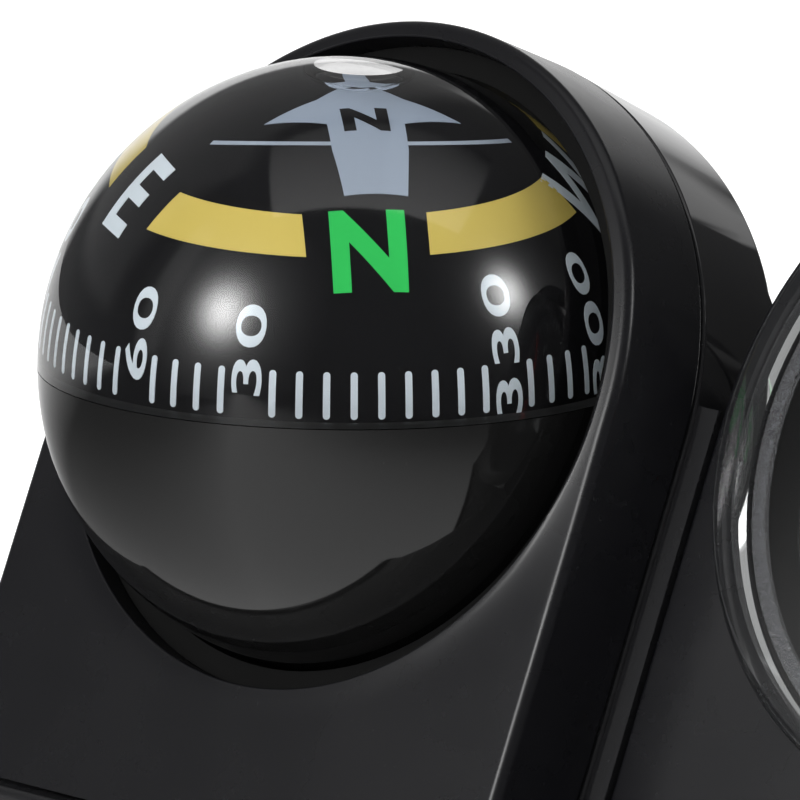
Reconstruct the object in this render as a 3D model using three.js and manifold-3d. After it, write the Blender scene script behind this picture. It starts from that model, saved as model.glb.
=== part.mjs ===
import * as THREE from 'three';
import { mergeVertices } from 'three/addons/utils/BufferGeometryUtils.js';
import Module from 'manifold-3d';

const wasm = await Module();
wasm.setup();

// A two-gauge dashboard unit: a ball compass in a leaning, arch-topped pod, and a bimetal
// thermometer in a second pod set back beside it, on one base. Millimetres, +Z up, the front
// faces -Y. The origin is the middle of the adhesive pad's underside.

// Fits and overruns
const seatGap = 0.3;
const overrun = 20;
const weldTolerance = 1e-4;

// Leaning faces
const faceLean = THREE.MathUtils.degToRad(25);

// Ball of the compass
const ballRadius = 20;
const ballWall = 1.2;
const ballHeight = 33.5;
const faceAhead = 1.25;

// Cradle that the ball is seated in
const cradleWall = 1.25;
const cradleSetback = 1.75;
const cradleFit = 0.35;

// Compass pod, its front shell drawn in towards the face by the draft
const podWall = 1.75;
const podDraft = 0.45;
const faceThickness = 1.8;
const lipRadius = 0.7;
const frontShellDepth = 7.25;
const backPlane = -14.9;
const backEdgeRadius = 0.8;

// Low bead on the face, round the ball's hole
const beadHeight = 0.4;
const beadWidth = 2.5;

// Rear shell
const rearWall = 1.6;
const rearDepthBehindBall = 18;
const rearCornerRadius = 5;
const bulgeClearance = 0.6;
const webWidth = 1.6;
const webTop = 2.6;
const webBottom = -23.2;

// Thermometer pod, its rise measured in the leaning plane from the ball's centre
const gaugeRise = 2.4;
const gaugeFace = -6.9;
const gaugeShellDepth = 6.5;
const gaugeEdgeRadius = 0.3;
const lensMargin = 2.55;

// Base
const padThickness = 1.2;
const padInset = 2;
const baseThickness = 3.7;
const baseLip = 1;
const baseCornerRadius = 3;
const baseEdgeRadius = 0.5;

// Base screws and the bosses that they bite in
const screwShankRadius = 0.95;
const screwHeadRadius = 2.1;
const screwHeadHeight = 1.3;
const screwSink = 0.1;
const screwBite = 5.5;
const bossWall = 1.05;
const bossCap = 1.5;
const rearBossInset = 11.7;
const gaugeRearBossInset = 12.15;

// Pivot of the compass card, heights from the ball's centre, which is the tip's height
const plugRadius = 2.2;
const plugLength = 1.8;
const postBossWall = 1.7;
const postBossHeight = 3;
const postWall = 0.4;
const postTop = -11.5;
const needleRadius = 0.5;
const needleTipRadius = 0.12;
const needleTaper = 3;
const needleSeatDepth = 2.5;
const jewelRadius = 0.95;
const jewelSkirt = 0.55;
const jewelHeight = 0.85;
const jewelCupRadius = 0.6;
const jewelFit = 0.35;
const jewelRoom = 0.45;
const holderWall = 0.7;
const holderSkirt = 0.9;
const holderRoof = 1.1;

// Compass card, its float and its ring magnet
const cardClearance = 3.4;
const cardWall = 0.8;
const cardSkirt = 3;
const turretWall = 1.1;
const turretRoof = 0.9;
const floatTop = -1;
const floatBottom = -4.5;
const floatFit = 0.6;
const floatShelf = 2.1;
const floatThroat = 3.2;
const magnetInnerRadius = 5;
const magnetOuterRadius = 7.8;
const magnetThickness = 4;
const collarWall = 0.8;
const collarDepth = 2.5;

// Thermometer, from its lens down to its rear bush
const lensRadius = 22.2;
const lensStand = 3.3;
const lensThickness = 1.4;
const lensWall = 1.3;
const lensCrown = 0.5;
const lensShoulder = 0.8;
const cupFit = 0.2;
const cupWall = 1.2;
const cupSink = 0.1;
const cupFloor = 1;
const ringBand = 1.4;
const ringHeight = 0.7;
const ringRelief = 0.35;
const ringTeeth = 40;
const dialDepth = 2.8;
const dialThickness = 0.6;
const dialLedge = 1.3;
const bushWall = 0.5;
const bushFlangeLip = 0.7;
const bushFlange = 0.5;
const bushLength = 1.4;
const arborRadius = 0.5;
const arborCollarLip = 0.6;
const rearBushLength = 1.6;
const rearBossWall = 1.2;
const coilFit = 0.35;
const coilRoom = 1.1;
const coilOuterRadius = 8.4;
const coilTurns = 5;
const coilThickness = 0.35;
const coilHeight = 1.8;
const anchorRadius = 1;
const anchorWall = 1;
const pointerThickness = 0.4;
const pointerLift = 0.5;
const pointerHubRadius = 1.9;
const pointerClearance = 3.8;
const pointerTail = 5.5;
const pointerWidth = 1.5;
const pointerTipWidth = 0.5;
const capRadius = 1.9;
const capHeight = 0.9;
const capCrownShare = 0.7;
const dialScrewInset = 5;
const dialScrewRadius = 0.6;
const dialScrewHeadRadius = 1.2;
const dialScrewHeadHeight = 0.6;
const dialScrewLength = 2;

// Steps round a circle, by size
const largeSteps = 36;
const ballSteps = 28;
const turnedSteps = 20;
const smallSteps = 10;
const arcSteps = 14;
const edgeSteps = 2;
const beadSteps = 3;
const cradleSteps = 4;
const coilSteps = 12;

// Ball, cradle, socket and pod, each round the one before
const podTilt = Math.PI / 2 - faceLean;
const innerRadius = ballRadius - ballWall;
const cradleFront = faceAhead - cradleSetback;
const socketRadius = ballRadius + seatGap + cradleWall + cradleFit;
const podRadius = socketRadius + podWall;
const seamPlane = faceAhead - frontShellDepth;

// Pivot, card and float, each inside or round the one before
const postRadius = needleRadius + seatGap + postWall;
const postBossRadius = postRadius + seatGap + postBossWall;
const holderBoreRadius = jewelRadius + jewelFit;
const holderRadius = holderBoreRadius + holderWall;
const holderCeiling = jewelHeight + jewelRoom;
const holderTop = holderCeiling + holderRoof;
const cardRadius = innerRadius - cardClearance;
const floatRimRadius = cardRadius - cardWall - floatFit;

// Thermometer, radii out from its arbor and in from its lens
const arborCollarRadius = arborRadius + arborCollarLip;
const bushRadius = arborRadius + seatGap + bushWall;
const bushFlangeRadius = bushRadius + bushFlangeLip;
const rearBossRadius = bushRadius + seatGap + rearBossWall;
const coilInnerRadius = arborCollarRadius + coilFit;
const cupRadius = lensRadius - lensWall - cupFit;
const ringInnerRadius = cupRadius - ringBand;
const pointerLength = ringInnerRadius - pointerClearance;
const dialScrewOffset = cupRadius - cupWall - dialScrewInset;
const gaugeHoleRadius = cupRadius + seatGap;
const gaugePodRadius = lensRadius + lensMargin;
const gaugeOffset = podRadius + webWidth + gaugePodRadius;

// Thermometer, depths along the pod's axis from the ball's centre plane
const gaugeSeamPlane = gaugeFace - gaugeShellDepth;
const lensFront = gaugeFace + lensStand;
const cupRim = gaugeFace - cupSink;
const dialFront = cupRim - dialDepth;
const coilFront = dialFront - dialThickness - coilRoom;
const cupBack = coilFront - coilHeight - 2 * seatGap - rearBushLength - cupFloor;
const gaugeBackPlane = cupBack - seatGap - rearWall;

// Screws, base and the whole unit
const screwHeadDepth = screwSink + screwHeadHeight + seatGap;
const bossRadius = screwShankRadius + seatGap + bossWall;
const bossHeight = screwBite + bossCap;
const baseTop = padThickness + seatGap + baseThickness;
const baseDrop = baseTop + seatGap - ballHeight;
const gaugeLeft = gaugeOffset - gaugePodRadius;
const gaugeRight = gaugeOffset + gaugePodRadius;
const unitWidth = podRadius + gaugeRight;
const frontFootY = footOf(faceAhead);
const gaugeFootY = footOf(gaugeFace);
const baseFrontY = frontFootY - baseLip;
const baseBackY = rearDepthBehindBall + baseLip;
const ballCentre = new THREE.Vector3(
  podRadius - unitWidth / 2,
  -(baseFrontY + baseBackY) / 2,
  ballHeight,
);

// Where a plane parallel to the face meets the level of the base, in Y from the ball's centre
function footOf(plane) {
  const alongFace = (baseDrop - plane * Math.sin(faceLean)) / Math.cos(faceLean);
  return alongFace * Math.sin(faceLean) - plane * Math.cos(faceLean);
}

// Solids and geometries

function solidOf(geometry) {
  const bare = geometry.index ? geometry.toNonIndexed() : geometry.clone();
  bare.deleteAttribute('normal');
  bare.deleteAttribute('uv');
  const welded = mergeVertices(bare, weldTolerance);
  const faces = [];
  for (let i = 0; i < welded.index.count; i += 3) {
    const [a, b, c] = [0, 1, 2].map((k) => welded.index.getX(i + k));
    if (a !== b && b !== c && c !== a) faces.push(a, b, c);
  }
  const build = (triangles) => new wasm.Manifold(new wasm.Mesh({
    numProp: 3,
    vertProperties: welded.attributes.position.array,
    triVerts: new Uint32Array(triangles),
  }));
  const solid = build(faces);
  return solid.volume() > 0 ? solid : build(faces.reverse());
}

function geometryOf(solid) {
  const mesh = solid.getMesh();
  const geometry = new THREE.BufferGeometry();
  const places = new THREE.BufferAttribute(new Float32Array(mesh.vertProperties), mesh.numProp);
  geometry.setAttribute('position', places);
  geometry.setIndex([...mesh.triVerts]);
  geometry.computeVertexNormals();
  return geometry;
}

// A turned solid about Z from [radius, height] points
function turned(profile, steps = ballSteps) {
  const points = profile.map(([radius, height]) => new THREE.Vector2(radius, height));
  return solidOf(new THREE.LatheGeometry(points, steps).rotateX(Math.PI / 2));
}

function rod(radius, low, high, steps = smallSteps) {
  return turned([[0, low], [radius, low], [radius, high], [0, high]], steps);
}

function tube(innerRadius, outerRadius, low, high, steps = ballSteps) {
  const profile = [[innerRadius, low], [outerRadius, low], [outerRadius, high], [innerRadius, high]];
  return turned([...profile, profile[0]], steps);
}

function ball(radius) {
  return solidOf(new THREE.SphereGeometry(radius, ballSteps, ballSteps / 2));
}

// Everything between two heights, wider than the whole unit
function layer(low, high) {
  const reach = 2 * (unitWidth + overrun);
  const block = new THREE.BoxGeometry(reach, reach, high - low);
  return solidOf(block.translate(0, 0, (low + high) / 2));
}

// Points of an arc of a circle about the origin, from one angle to another
function arcPoints(radius, from, to, steps) {
  return Array.from({ length: steps + 1 }, (_, i) => {
    const angle = from + (to - from) * (i / steps);
    return [radius * Math.cos(angle), radius * Math.sin(angle)];
  });
}

// A plate of an outline between two depths, its front and back edges rounded
function plate(outline, back, front, edge = 0, steps = arcSteps) {
  const geometry = new THREE.ExtrudeGeometry(outline, {
    depth: front - back - 2 * edge,
    bevelEnabled: edge > 0,
    bevelThickness: edge,
    bevelSize: edge,
    bevelOffset: -edge,
    bevelSegments: edgeSteps,
    curveSegments: steps,
  });
  return solidOf(geometry.translate(0, 0, back + edge));
}

function circle(path, x, y, radius) {
  path.absarc(x, y, radius, 0, Math.PI, false);
  path.absarc(x, y, radius, Math.PI, 2 * Math.PI, false);
  return path;
}

// Leaning solids are made with Z along the face's normal, then turned into place
function leaned(solid) {
  return solid.rotate([THREE.MathUtils.radToDeg(podTilt), 0, 0]);
}

// Pods and shells, all from the ball's centre

function archOutline(centreX, centreY, radius) {
  const shape = new THREE.Shape();
  shape.moveTo(centreX - radius, baseDrop - overrun);
  shape.lineTo(centreX + radius, baseDrop - overrun);
  shape.lineTo(centreX + radius, centreY);
  shape.absarc(centreX, centreY, radius, 0, Math.PI, false);
  shape.closePath();
  return shape;
}

function webOutline() {
  const left = podRadius - rearWall;
  const right = gaugeLeft + rearWall;
  const shape = new THREE.Shape();
  shape.moveTo(left, webBottom);
  shape.lineTo(right, webBottom);
  shape.lineTo(right, webTop);
  shape.lineTo(left, webTop);
  shape.closePath();
  return shape;
}

// The upright rear foot of the housing, seen from above
function footPrism(inset) {
  const [left, right, back] = [-podRadius + inset, gaugeRight - inset, rearDepthBehindBall - inset];
  const corner = rearCornerRadius - inset;
  const shape = new THREE.Shape();
  shape.moveTo(left, -ballRadius - overrun);
  shape.lineTo(right, -ballRadius - overrun);
  shape.lineTo(right, back - corner);
  shape.absarc(right - corner, back - corner, corner, 0, Math.PI / 2, false);
  shape.lineTo(left + corner, back);
  shape.absarc(left + corner, back - corner, corner, Math.PI / 2, Math.PI, false);
  shape.closePath();
  return plate(shape, baseDrop - overrun, ballRadius + overrun, 0, smallSteps / 2);
}

function belowBase() {
  return layer(baseDrop - 2 * overrun, baseDrop);
}

// A pod's block up to a front plane, drawn in from its seam to its face by the draft
function podBlock(pod, inset, front, edge = 0) {
  const block = plate(archOutline(pod.x, pod.y, pod.radius - inset), pod.seam - overrun, front, edge);
  const draw = pod.draft / (pod.radius * (pod.face - pod.seam));
  return block.warp((point) => {
    const scale = 1 - draw * (point[2] - pod.seam);
    point[0] = pod.x + (point[0] - pod.x) * scale;
    point[1] = pod.y + (point[1] - pod.y) * scale;
  });
}

// The bead round a hole, falling outwards in a curve; the pod's edge is rounded at its level
function bead(pod) {
  const foot = pod.face - faceThickness;
  const slope = Array.from({ length: beadSteps + 1 }, (_, i) => {
    const share = 1 - i / beadSteps;
    return [pod.hole + beadWidth * share, pod.face + beadHeight * (1 - share ** 2)];
  });
  const mound = turned([[0, foot], [pod.hole + beadWidth, foot], ...slope, [0, pod.face + beadHeight]],
    largeSteps).translate([pod.x, pod.y, 0]);
  const rings = slope.slice(1).map(([, height], i) => {
    const disc = rod(slope[i][0], foot, height, largeSteps).translate([pod.x, pod.y, 0]);
    return podBlock(pod, 0, height, pod.edge).intersect(disc).intersect(mound);
  });
  return rings.reduce((whole, ring) => whole.add(ring));
}

// A front shell: rounded face with its hole, side walls, open at the back
function frontShell(pod) {
  const face = podBlock(pod, 0, pod.face, pod.edge);
  const outer = pod.collar ? face.add(bead(pod)) : face;
  const behind = layer(pod.seam - overrun * 2, pod.seam);
  const hollow = podBlock(pod, pod.wall, pod.face - faceThickness);
  const collar = tube(pod.hole, pod.hole + pod.wall, pod.seam - overrun, pod.face, largeSteps)
    .translate([pod.x, pod.y, 0]);
  const room = pod.collar ? hollow.subtract(collar) : hollow;
  const bore = rod(pod.hole, pod.seam - overrun, pod.face + overrun, largeSteps)
    .translate([pod.x, pod.y, 0]);
  const shell = leaned(outer.subtract(room).subtract(behind).subtract(bore));
  const envelope = leaned(plate(archOutline(pod.x, pod.y, pod.radius - pod.wall / 2),
    pod.seam, pod.face - faceThickness / 2));
  const bored = leaned(bore);
  let finished = shell;
  for (const place of pod.bosses) {
    finished = finished.add(boss(place).intersect(envelope).subtract(bored));
    finished = finished.subtract(pilot(place));
  }
  return finished.subtract(belowBase());
}

function boss([x, y]) {
  return rod(bossRadius, baseDrop, baseDrop + bossHeight).translate([x, y, 0]);
}

function pilot([x, y]) {
  return rod(screwShankRadius + seatGap, baseDrop - overrun, baseDrop + screwBite + seatGap)
    .translate([x, y, 0]);
}

const compassPod = {
  x: 0,
  y: 0,
  radius: podRadius,
  wall: podWall,
  draft: podDraft,
  edge: lipRadius,
  hole: socketRadius,
  face: faceAhead,
  seam: seamPlane,
  back: backPlane,
  collar: true,
};
const gaugePod = {
  x: gaugeOffset,
  y: gaugeRise,
  radius: gaugePodRadius,
  wall: rearWall,
  draft: 0,
  edge: gaugeEdgeRadius,
  hole: gaugeHoleRadius,
  face: gaugeFace,
  seam: gaugeSeamPlane,
  back: gaugeBackPlane,
  collar: false,
};

// Bosses stand between the face and the seam, where the front shells meet the base
function frontBosses(pod) {
  const y = (footOf(pod.face - faceThickness) + footOf(pod.seam)) / 2;
  const spread = pod.radius - pod.wall - bossRadius * 2;
  return [[pod.x - spread, y], [pod.x + spread, y]];
}
compassPod.bosses = frontBosses(compassPod);
gaugePod.bosses = frontBosses(gaugePod);
const rearBossY = rearDepthBehindBall - rearWall - bossRadius + seatGap;
const rearBosses = [
  [-podRadius + rearBossInset, rearBossY],
  [gaugeRight - gaugeRearBossInset, rearBossY],
];

// One pod's part of the rear shell, grown inwards by a wall for its hollow
function rearBlock(pod, inset) {
  const outline = archOutline(pod.x, pod.y, pod.radius - inset);
  const front = pod.seam - seatGap + (inset > 0 ? overrun : 0);
  const slab = inset > 0
    ? plate(outline, pod.back + inset, front)
    : plate(outline, pod.back, front + backEdgeRadius, backEdgeRadius)
      .subtract(layer(front, front + overrun));
  const long = plate(outline, pod.back - overrun * 2, front);
  return leaned(slab).add(leaned(long).intersect(footPrism(inset)));
}

// The web that joins the two pods, its front level with the compass pod's seam
function web() {
  const front = seamPlane - seatGap;
  const slab = leaned(plate(webOutline(), gaugeSeamPlane - 2 * rearWall, front));
  const long = leaned(plate(webOutline(), gaugeBackPlane - overrun, front));
  return slab.add(long.intersect(footPrism(rearWall)));
}

function rearShell() {
  const solid = rearBlock(compassPod, 0).add(rearBlock(gaugePod, 0))
    .add(ball(ballRadius + bulgeClearance + rearWall).subtract(frontHalf()))
    .add(web());
  const hollow = rearBlock(compassPod, rearWall).add(rearBlock(gaugePod, rearWall))
    .add(ball(ballRadius + bulgeClearance));
  let shell = solid.subtract(hollow).subtract(gaugeFrontRoom());
  for (const place of rearBosses) {
    shell = shell.add(boss(place)).subtract(pilot(place));
  }
  return shell.subtract(belowBase());
}

// All that lies ahead of the compass pod's seam
function frontHalf() {
  return leaned(layer(seamPlane - seatGap, ballRadius + overrun));
}

// The space of the thermometer's front shell, with its clearance
function gaugeFrontRoom() {
  return leaned(plate(archOutline(gaugePod.x, gaugePod.y, gaugePod.radius + seatGap),
    gaugePod.seam - seatGap, overrun));
}

// Base

function baseOutline(grow) {
  const corner = baseCornerRadius;
  const left = -podRadius - grow;
  const right = gaugeRight + grow;
  const step = podRadius + grow;
  const front = frontFootY - grow;
  const stepFront = gaugeFootY - grow;
  const back = rearDepthBehindBall + grow;
  const shape = new THREE.Shape();
  shape.moveTo(left + corner, front);
  shape.lineTo(step - corner, front);
  shape.absarc(step - corner, front + corner, corner, -Math.PI / 2, 0, false);
  shape.lineTo(step, stepFront - corner);
  shape.absarc(step + corner, stepFront - corner, corner, Math.PI, Math.PI / 2, true);
  shape.lineTo(right - corner, stepFront);
  shape.absarc(right - corner, stepFront + corner, corner, -Math.PI / 2, 0, false);
  shape.lineTo(right, back - corner);
  shape.absarc(right - corner, back - corner, corner, 0, Math.PI / 2, false);
  shape.lineTo(left + corner, back);
  shape.absarc(left + corner, back - corner, corner, Math.PI / 2, Math.PI, false);
  shape.lineTo(left, front + corner);
  shape.absarc(left + corner, front + corner, corner, Math.PI, Math.PI * 1.5, false);
  return shape;
}

const basePlateBottom = padThickness + seatGap;
const screwPlaces = [...compassPod.bosses, ...gaugePod.bosses, ...rearBosses];

function basePlate() {
  const edge = baseEdgeRadius;
  let solid = plate(baseOutline(baseLip), basePlateBottom, baseTop, edge, smallSteps / 4);
  for (const [x, y] of screwPlaces) {
    const hole = rod(screwShankRadius + seatGap, -overrun, overrun);
    const recess = rod(screwHeadRadius + seatGap, -overrun, basePlateBottom + screwHeadDepth);
    solid = solid.subtract(hole.add(recess).translate([x, y, 0]));
  }
  return solid;
}

function adhesivePad() {
  return plate(baseOutline(baseLip - padInset), 0, padThickness, 0, smallSteps / 4);
}

function baseScrew() {
  const headTop = screwHeadDepth - seatGap;
  const shankTop = baseTop - basePlateBottom + seatGap + screwBite;
  const headBottom = headTop - screwHeadHeight;
  return turned([
    [0, headBottom],
    [screwHeadRadius - screwHeadHeight / 2, headBottom],
    [screwHeadRadius, headTop - screwHeadHeight / 2],
    [screwHeadRadius, headTop],
    [screwShankRadius, headTop],
    [screwShankRadius, shankTop - screwShankRadius],
    [0, shankTop],
  ], smallSteps);
}

// Ball of the compass, about the vertical through its centre

function clearDome() {
  const rimZ = seatGap / 2;
  const rimAngle = Math.asin(rimZ / ballRadius);
  const innerRim = Math.asin(rimZ / innerRadius);
  const outer = arcPoints(ballRadius, rimAngle, Math.PI / 2, ballSteps / 4);
  const inner = arcPoints(innerRadius, Math.PI / 2, innerRim, ballSteps / 4);
  const spigotOuter = innerRadius - seatGap;
  const spigotInner = spigotOuter - ballWall;
  const spigot = [
    [spigotInner, rimZ + ballWall],
    [spigotInner, -ballWall],
    [spigotOuter, -ballWall],
    [spigotOuter, rimZ],
  ];
  const shell = turned([...outer, ...inner, outer[0]].map(onAxis));
  const ring = turned([...spigot, [innerRadius + ballWall / 2, rimZ],
    [innerRadius, rimZ + ballWall], spigot[0]]);
  return shell.add(ring);
}

function onAxis([radius, height]) {
  return [Math.max(radius, 0), height];
}

const plugAxisTurn = THREE.MathUtils.radToDeg(podTilt);

function lowerBowl() {
  const rimZ = -seatGap / 2;
  const outer = arcPoints(ballRadius, -Math.PI / 2, Math.asin(rimZ / ballRadius), ballSteps / 4);
  const inner = arcPoints(innerRadius, Math.asin(rimZ / innerRadius), -Math.PI / 2, ballSteps / 4);
  const cup = turned([...outer, ...inner].map(onAxis));
  const postBoss = rod(postBossRadius, -innerRadius - ballWall / 2, -innerRadius + postBossHeight);
  const postBore = rod(postRadius + seatGap, -innerRadius + seatGap, 0);
  const plugHole = rod(plugRadius + seatGap, -ballRadius - ballWall, -innerRadius + ballWall)
    .rotate([plugAxisTurn, 0, 0]);
  return cup.add(postBoss).subtract(postBore).subtract(plugHole);
}

function fillPlug() {
  return rod(plugRadius, -ballRadius + seatGap / 2, -ballRadius + seatGap / 2 + plugLength);
}

const postFoot = -innerRadius + 2 * seatGap;

function pivotPost() {
  const seat = needleRadius + seatGap;
  const neck = (postRadius + seat + seatGap) / 2;
  return turned([
    [0, postFoot],
    [postRadius, postFoot],
    [postRadius, -innerRadius + postBossHeight + seatGap],
    [neck, postTop],
    [seat, postTop],
    [seat, postTop - needleSeatDepth],
    [0, postTop - needleSeatDepth],
  ], smallSteps);
}

function pivotNeedle() {
  return turned([
    [0, postTop - needleSeatDepth + seatGap],
    [needleRadius, postTop - needleSeatDepth + seatGap],
    [needleRadius, -seatGap - needleTaper],
    [needleTipRadius, -seatGap],
    [0, -seatGap],
  ], smallSteps);
}

// The card's moving parts, heights from the needle's tip

function jewelCup() {
  return turned([
    [0, 0],
    [jewelCupRadius, -jewelSkirt],
    [jewelRadius - jewelSkirt / 4, -jewelSkirt],
    [jewelRadius, -jewelSkirt / 2],
    [jewelRadius, jewelHeight - jewelSkirt],
    [jewelCupRadius, jewelHeight],
    [0, jewelHeight],
  ], smallSteps);
}

function jewelHolder() {
  return turned([
    [holderBoreRadius, -holderSkirt],
    [holderRadius, -holderSkirt],
    [holderRadius, holderTop - seatGap],
    [holderRadius - seatGap, holderTop],
    [0, holderTop],
    [0, holderCeiling],
    [holderBoreRadius, holderCeiling],
    [holderBoreRadius, -holderSkirt],
  ], smallSteps);
}

function compassCard() {
  const inner = cardRadius - cardWall;
  const outerArc = arcPoints(cardRadius, -Math.asin(cardSkirt / cardRadius), Math.PI / 2, ballSteps / 4);
  const innerArc = arcPoints(inner, Math.PI / 2, -Math.asin(cardSkirt / inner), ballSteps / 4);
  return turned([...outerArc, ...innerArc, outerArc[0]].map(onAxis));
}

function cardFloat() {
  const bore = holderRadius + seatGap;
  const turret = bore + turretWall;
  const ceiling = holderTop + seatGap;
  const collarInner = magnetOuterRadius + seatGap;
  const collarOuter = collarInner + collarWall;
  const rimSkirt = floatTop - cardSkirt + cardWall;
  return turned([
    [0, ceiling],
    [bore, ceiling],
    [bore, floatTop],
    [floatThroat, floatBottom],
    [collarInner, floatBottom],
    [collarInner, floatBottom - collarDepth],
    [collarOuter, floatBottom - collarDepth],
    [collarOuter, floatBottom],
    [collarOuter + floatShelf, floatBottom],
    [floatRimRadius, rimSkirt],
    [floatRimRadius, floatTop],
    [turret + turretWall, floatTop],
    [turret, floatTop + turretWall],
    [turret, ceiling],
    [turret - turretWall, ceiling + turretRoof],
    [0, ceiling + turretRoof],
  ], turnedSteps);
}

function ringMagnet() {
  const top = floatBottom - seatGap;
  return tube(magnetInnerRadius, magnetOuterRadius, top - magnetThickness, top, turnedSteps);
}

// Cradle: a band of a sphere round the ball, about the pod's axis

function capsuleCradle() {
  const inner = ballRadius + seatGap;
  const outer = inner + cradleWall;
  const back = backPlane + rearWall + seatGap;
  const outerArc = arcPoints(outer, Math.asin(back / outer), Math.asin(cradleFront / outer), cradleSteps);
  const innerArc = arcPoints(inner, Math.asin(cradleFront / inner), Math.asin(back / inner), cradleSteps);
  return turned([...outerArc, ...innerArc, outerArc[0]]);
}

// Thermometer, about its own axis, depths from the ball's centre plane

function gaugeLens() {
  const foot = gaugeFace + seatGap;
  const wallInner = lensRadius - lensWall;
  const front = lensFront;
  const back = front - lensThickness;
  const crown = (radius) => lensCrown * (1 - (radius / lensRadius) ** 2);
  const faceShares = [0, 0.25, 0.5, 0.75];
  const shoulder = lensRadius - lensShoulder;
  const outerFace = faceShares.map((share) => [share * lensRadius, front + crown(share * lensRadius)]);
  const innerFace = [...faceShares].reverse()
    .map((share) => [share * lensRadius, back + crown(share * lensRadius)]);
  return turned([
    ...outerFace,
    [shoulder, front + crown(shoulder)],
    [lensRadius, front - lensShoulder],
    [lensRadius, foot],
    [wallInner, foot],
    [wallInner, back],
    ...innerFace,
  ], largeSteps);
}

// Ring with a band of small pyramids, like a milled edge
function trimRing() {
  const low = cupRim + seatGap;
  const peakHeight = low + ringHeight;
  const rimHeight = peakHeight - ringRelief;
  const outer = cupRadius - seatGap;
  const spread = (Math.PI * 2) / ringTeeth;
  const point = (radius, angle, height) => [radius * Math.cos(angle), radius * Math.sin(angle), height];
  const triangles = [];
  for (let tooth = 0; tooth < ringTeeth; tooth += 1) {
    const [start, end] = [tooth * spread, (tooth + 1) * spread];
    const section = (angle) => [
      point(ringInnerRadius, angle, low),
      point(outer, angle, low),
      point(outer, angle, rimHeight),
      point(ringInnerRadius, angle, rimHeight),
    ];
    const [a, b] = [section(start), section(end)];
    for (const [k, next] of [[0, 1], [1, 2], [3, 0]]) {
      triangles.push(a[k], b[k], b[next], a[k], b[next], a[next]);
    }
    const peak = point((ringInnerRadius + outer) / 2, (start + end) / 2, peakHeight);
    for (const [p, q] of [[a[3], a[2]], [a[2], b[2]], [b[2], b[3]], [b[3], a[3]]]) {
      triangles.push(p, q, peak);
    }
  }
  const facets = new THREE.BufferGeometry();
  facets.setAttribute('position', new THREE.Float32BufferAttribute(triangles.flat(), 3));
  return solidOf(facets);
}

function gaugeCup() {
  const inner = cupRadius - cupWall;
  const ledge = dialFront - dialThickness - seatGap;
  const floor = cupBack + cupFloor;
  const rearBossTop = floor + rearBushLength;
  const bushBore = bushRadius + seatGap;
  const cup = turned([
    [0, cupBack],
    [cupRadius, cupBack],
    [cupRadius, cupRim],
    [inner, cupRim],
    [inner, ledge],
    [inner - dialLedge, ledge],
    [inner - dialLedge, floor],
    [rearBossRadius, floor],
    [rearBossRadius, rearBossTop],
    [bushBore, rearBossTop],
    [bushBore, floor],
    [0, floor],
  ], largeSteps);
  let finished = cup;
  for (const x of [-dialScrewOffset, dialScrewOffset]) {
    const post = rod(dialScrewHeadRadius + seatGap, floor - cupFloor / 2, ledge);
    const bore = rod(dialScrewRadius + seatGap, ledge - dialScrewLength, ledge + overrun);
    finished = finished.add(post.translate([x, 0, 0])).subtract(bore.translate([x, 0, 0]));
  }
  const anchorBore = rod(anchorRadius + seatGap, floor, ledge).translate([0, anchorPlace, 0]);
  const anchorPost = rod(anchorRadius + seatGap + anchorWall, floor - cupFloor / 2, anchorFoot)
    .translate([0, anchorPlace, 0]);
  return finished.add(anchorPost.subtract(anchorBore));
}

const anchorPlace = -(coilOuterRadius + seatGap + anchorRadius);
const anchorFoot = coilFront - coilHeight - seatGap;

function dialPlate() {
  const back = dialFront - dialThickness;
  let disc = rod(cupRadius - cupWall - seatGap, back, dialFront, largeSteps)
    .subtract(rod(bushRadius + seatGap, back - overrun, dialFront + overrun));
  for (const x of [-dialScrewOffset, dialScrewOffset]) {
    const hole = rod(dialScrewRadius + seatGap, back - overrun, dialFront + overrun);
    disc = disc.subtract(hole.translate([x, 0, 0]));
  }
  return disc;
}

function dialScrew() {
  const low = dialFront - dialThickness - dialScrewLength;
  const headFoot = dialFront + seatGap;
  return turned([
    [0, low],
    [dialScrewRadius, low + dialScrewRadius],
    [dialScrewRadius, headFoot],
    [dialScrewHeadRadius, headFoot],
    [dialScrewHeadRadius, headFoot + dialScrewHeadHeight / 2],
    [dialScrewHeadRadius / 2, headFoot + dialScrewHeadHeight],
    [0, headFoot + dialScrewHeadHeight],
  ], smallSteps);
}

function dialBush() {
  const bore = arborRadius + seatGap;
  const flangeFoot = dialFront + seatGap;
  return turned([
    [bore, flangeFoot - bushLength],
    [bushRadius, flangeFoot - bushLength],
    [bushRadius, flangeFoot],
    [bushFlangeRadius, flangeFoot],
    [bushFlangeRadius, flangeFoot + bushFlange],
    [bore, flangeFoot + bushFlange],
    [bore, flangeFoot - bushLength],
  ], smallSteps);
}

function rearBush() {
  const floor = cupBack + cupFloor;
  return tube(arborRadius + seatGap, bushRadius, floor + seatGap, floor + rearBushLength, smallSteps);
}

const pointerBack = dialFront + seatGap + bushFlange + pointerLift;
const arborTop = pointerBack + pointerThickness + seatGap;

function pointerArbor() {
  const foot = cupBack + cupFloor + seatGap;
  return turned([
    [0, foot],
    [arborRadius, foot],
    [arborRadius, coilFront - coilHeight],
    [arborCollarRadius, coilFront - coilHeight],
    [arborCollarRadius, coilFront],
    [arborRadius, coilFront],
    [arborRadius, arborTop],
    [0, arborTop],
  ], smallSteps);
}

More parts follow.
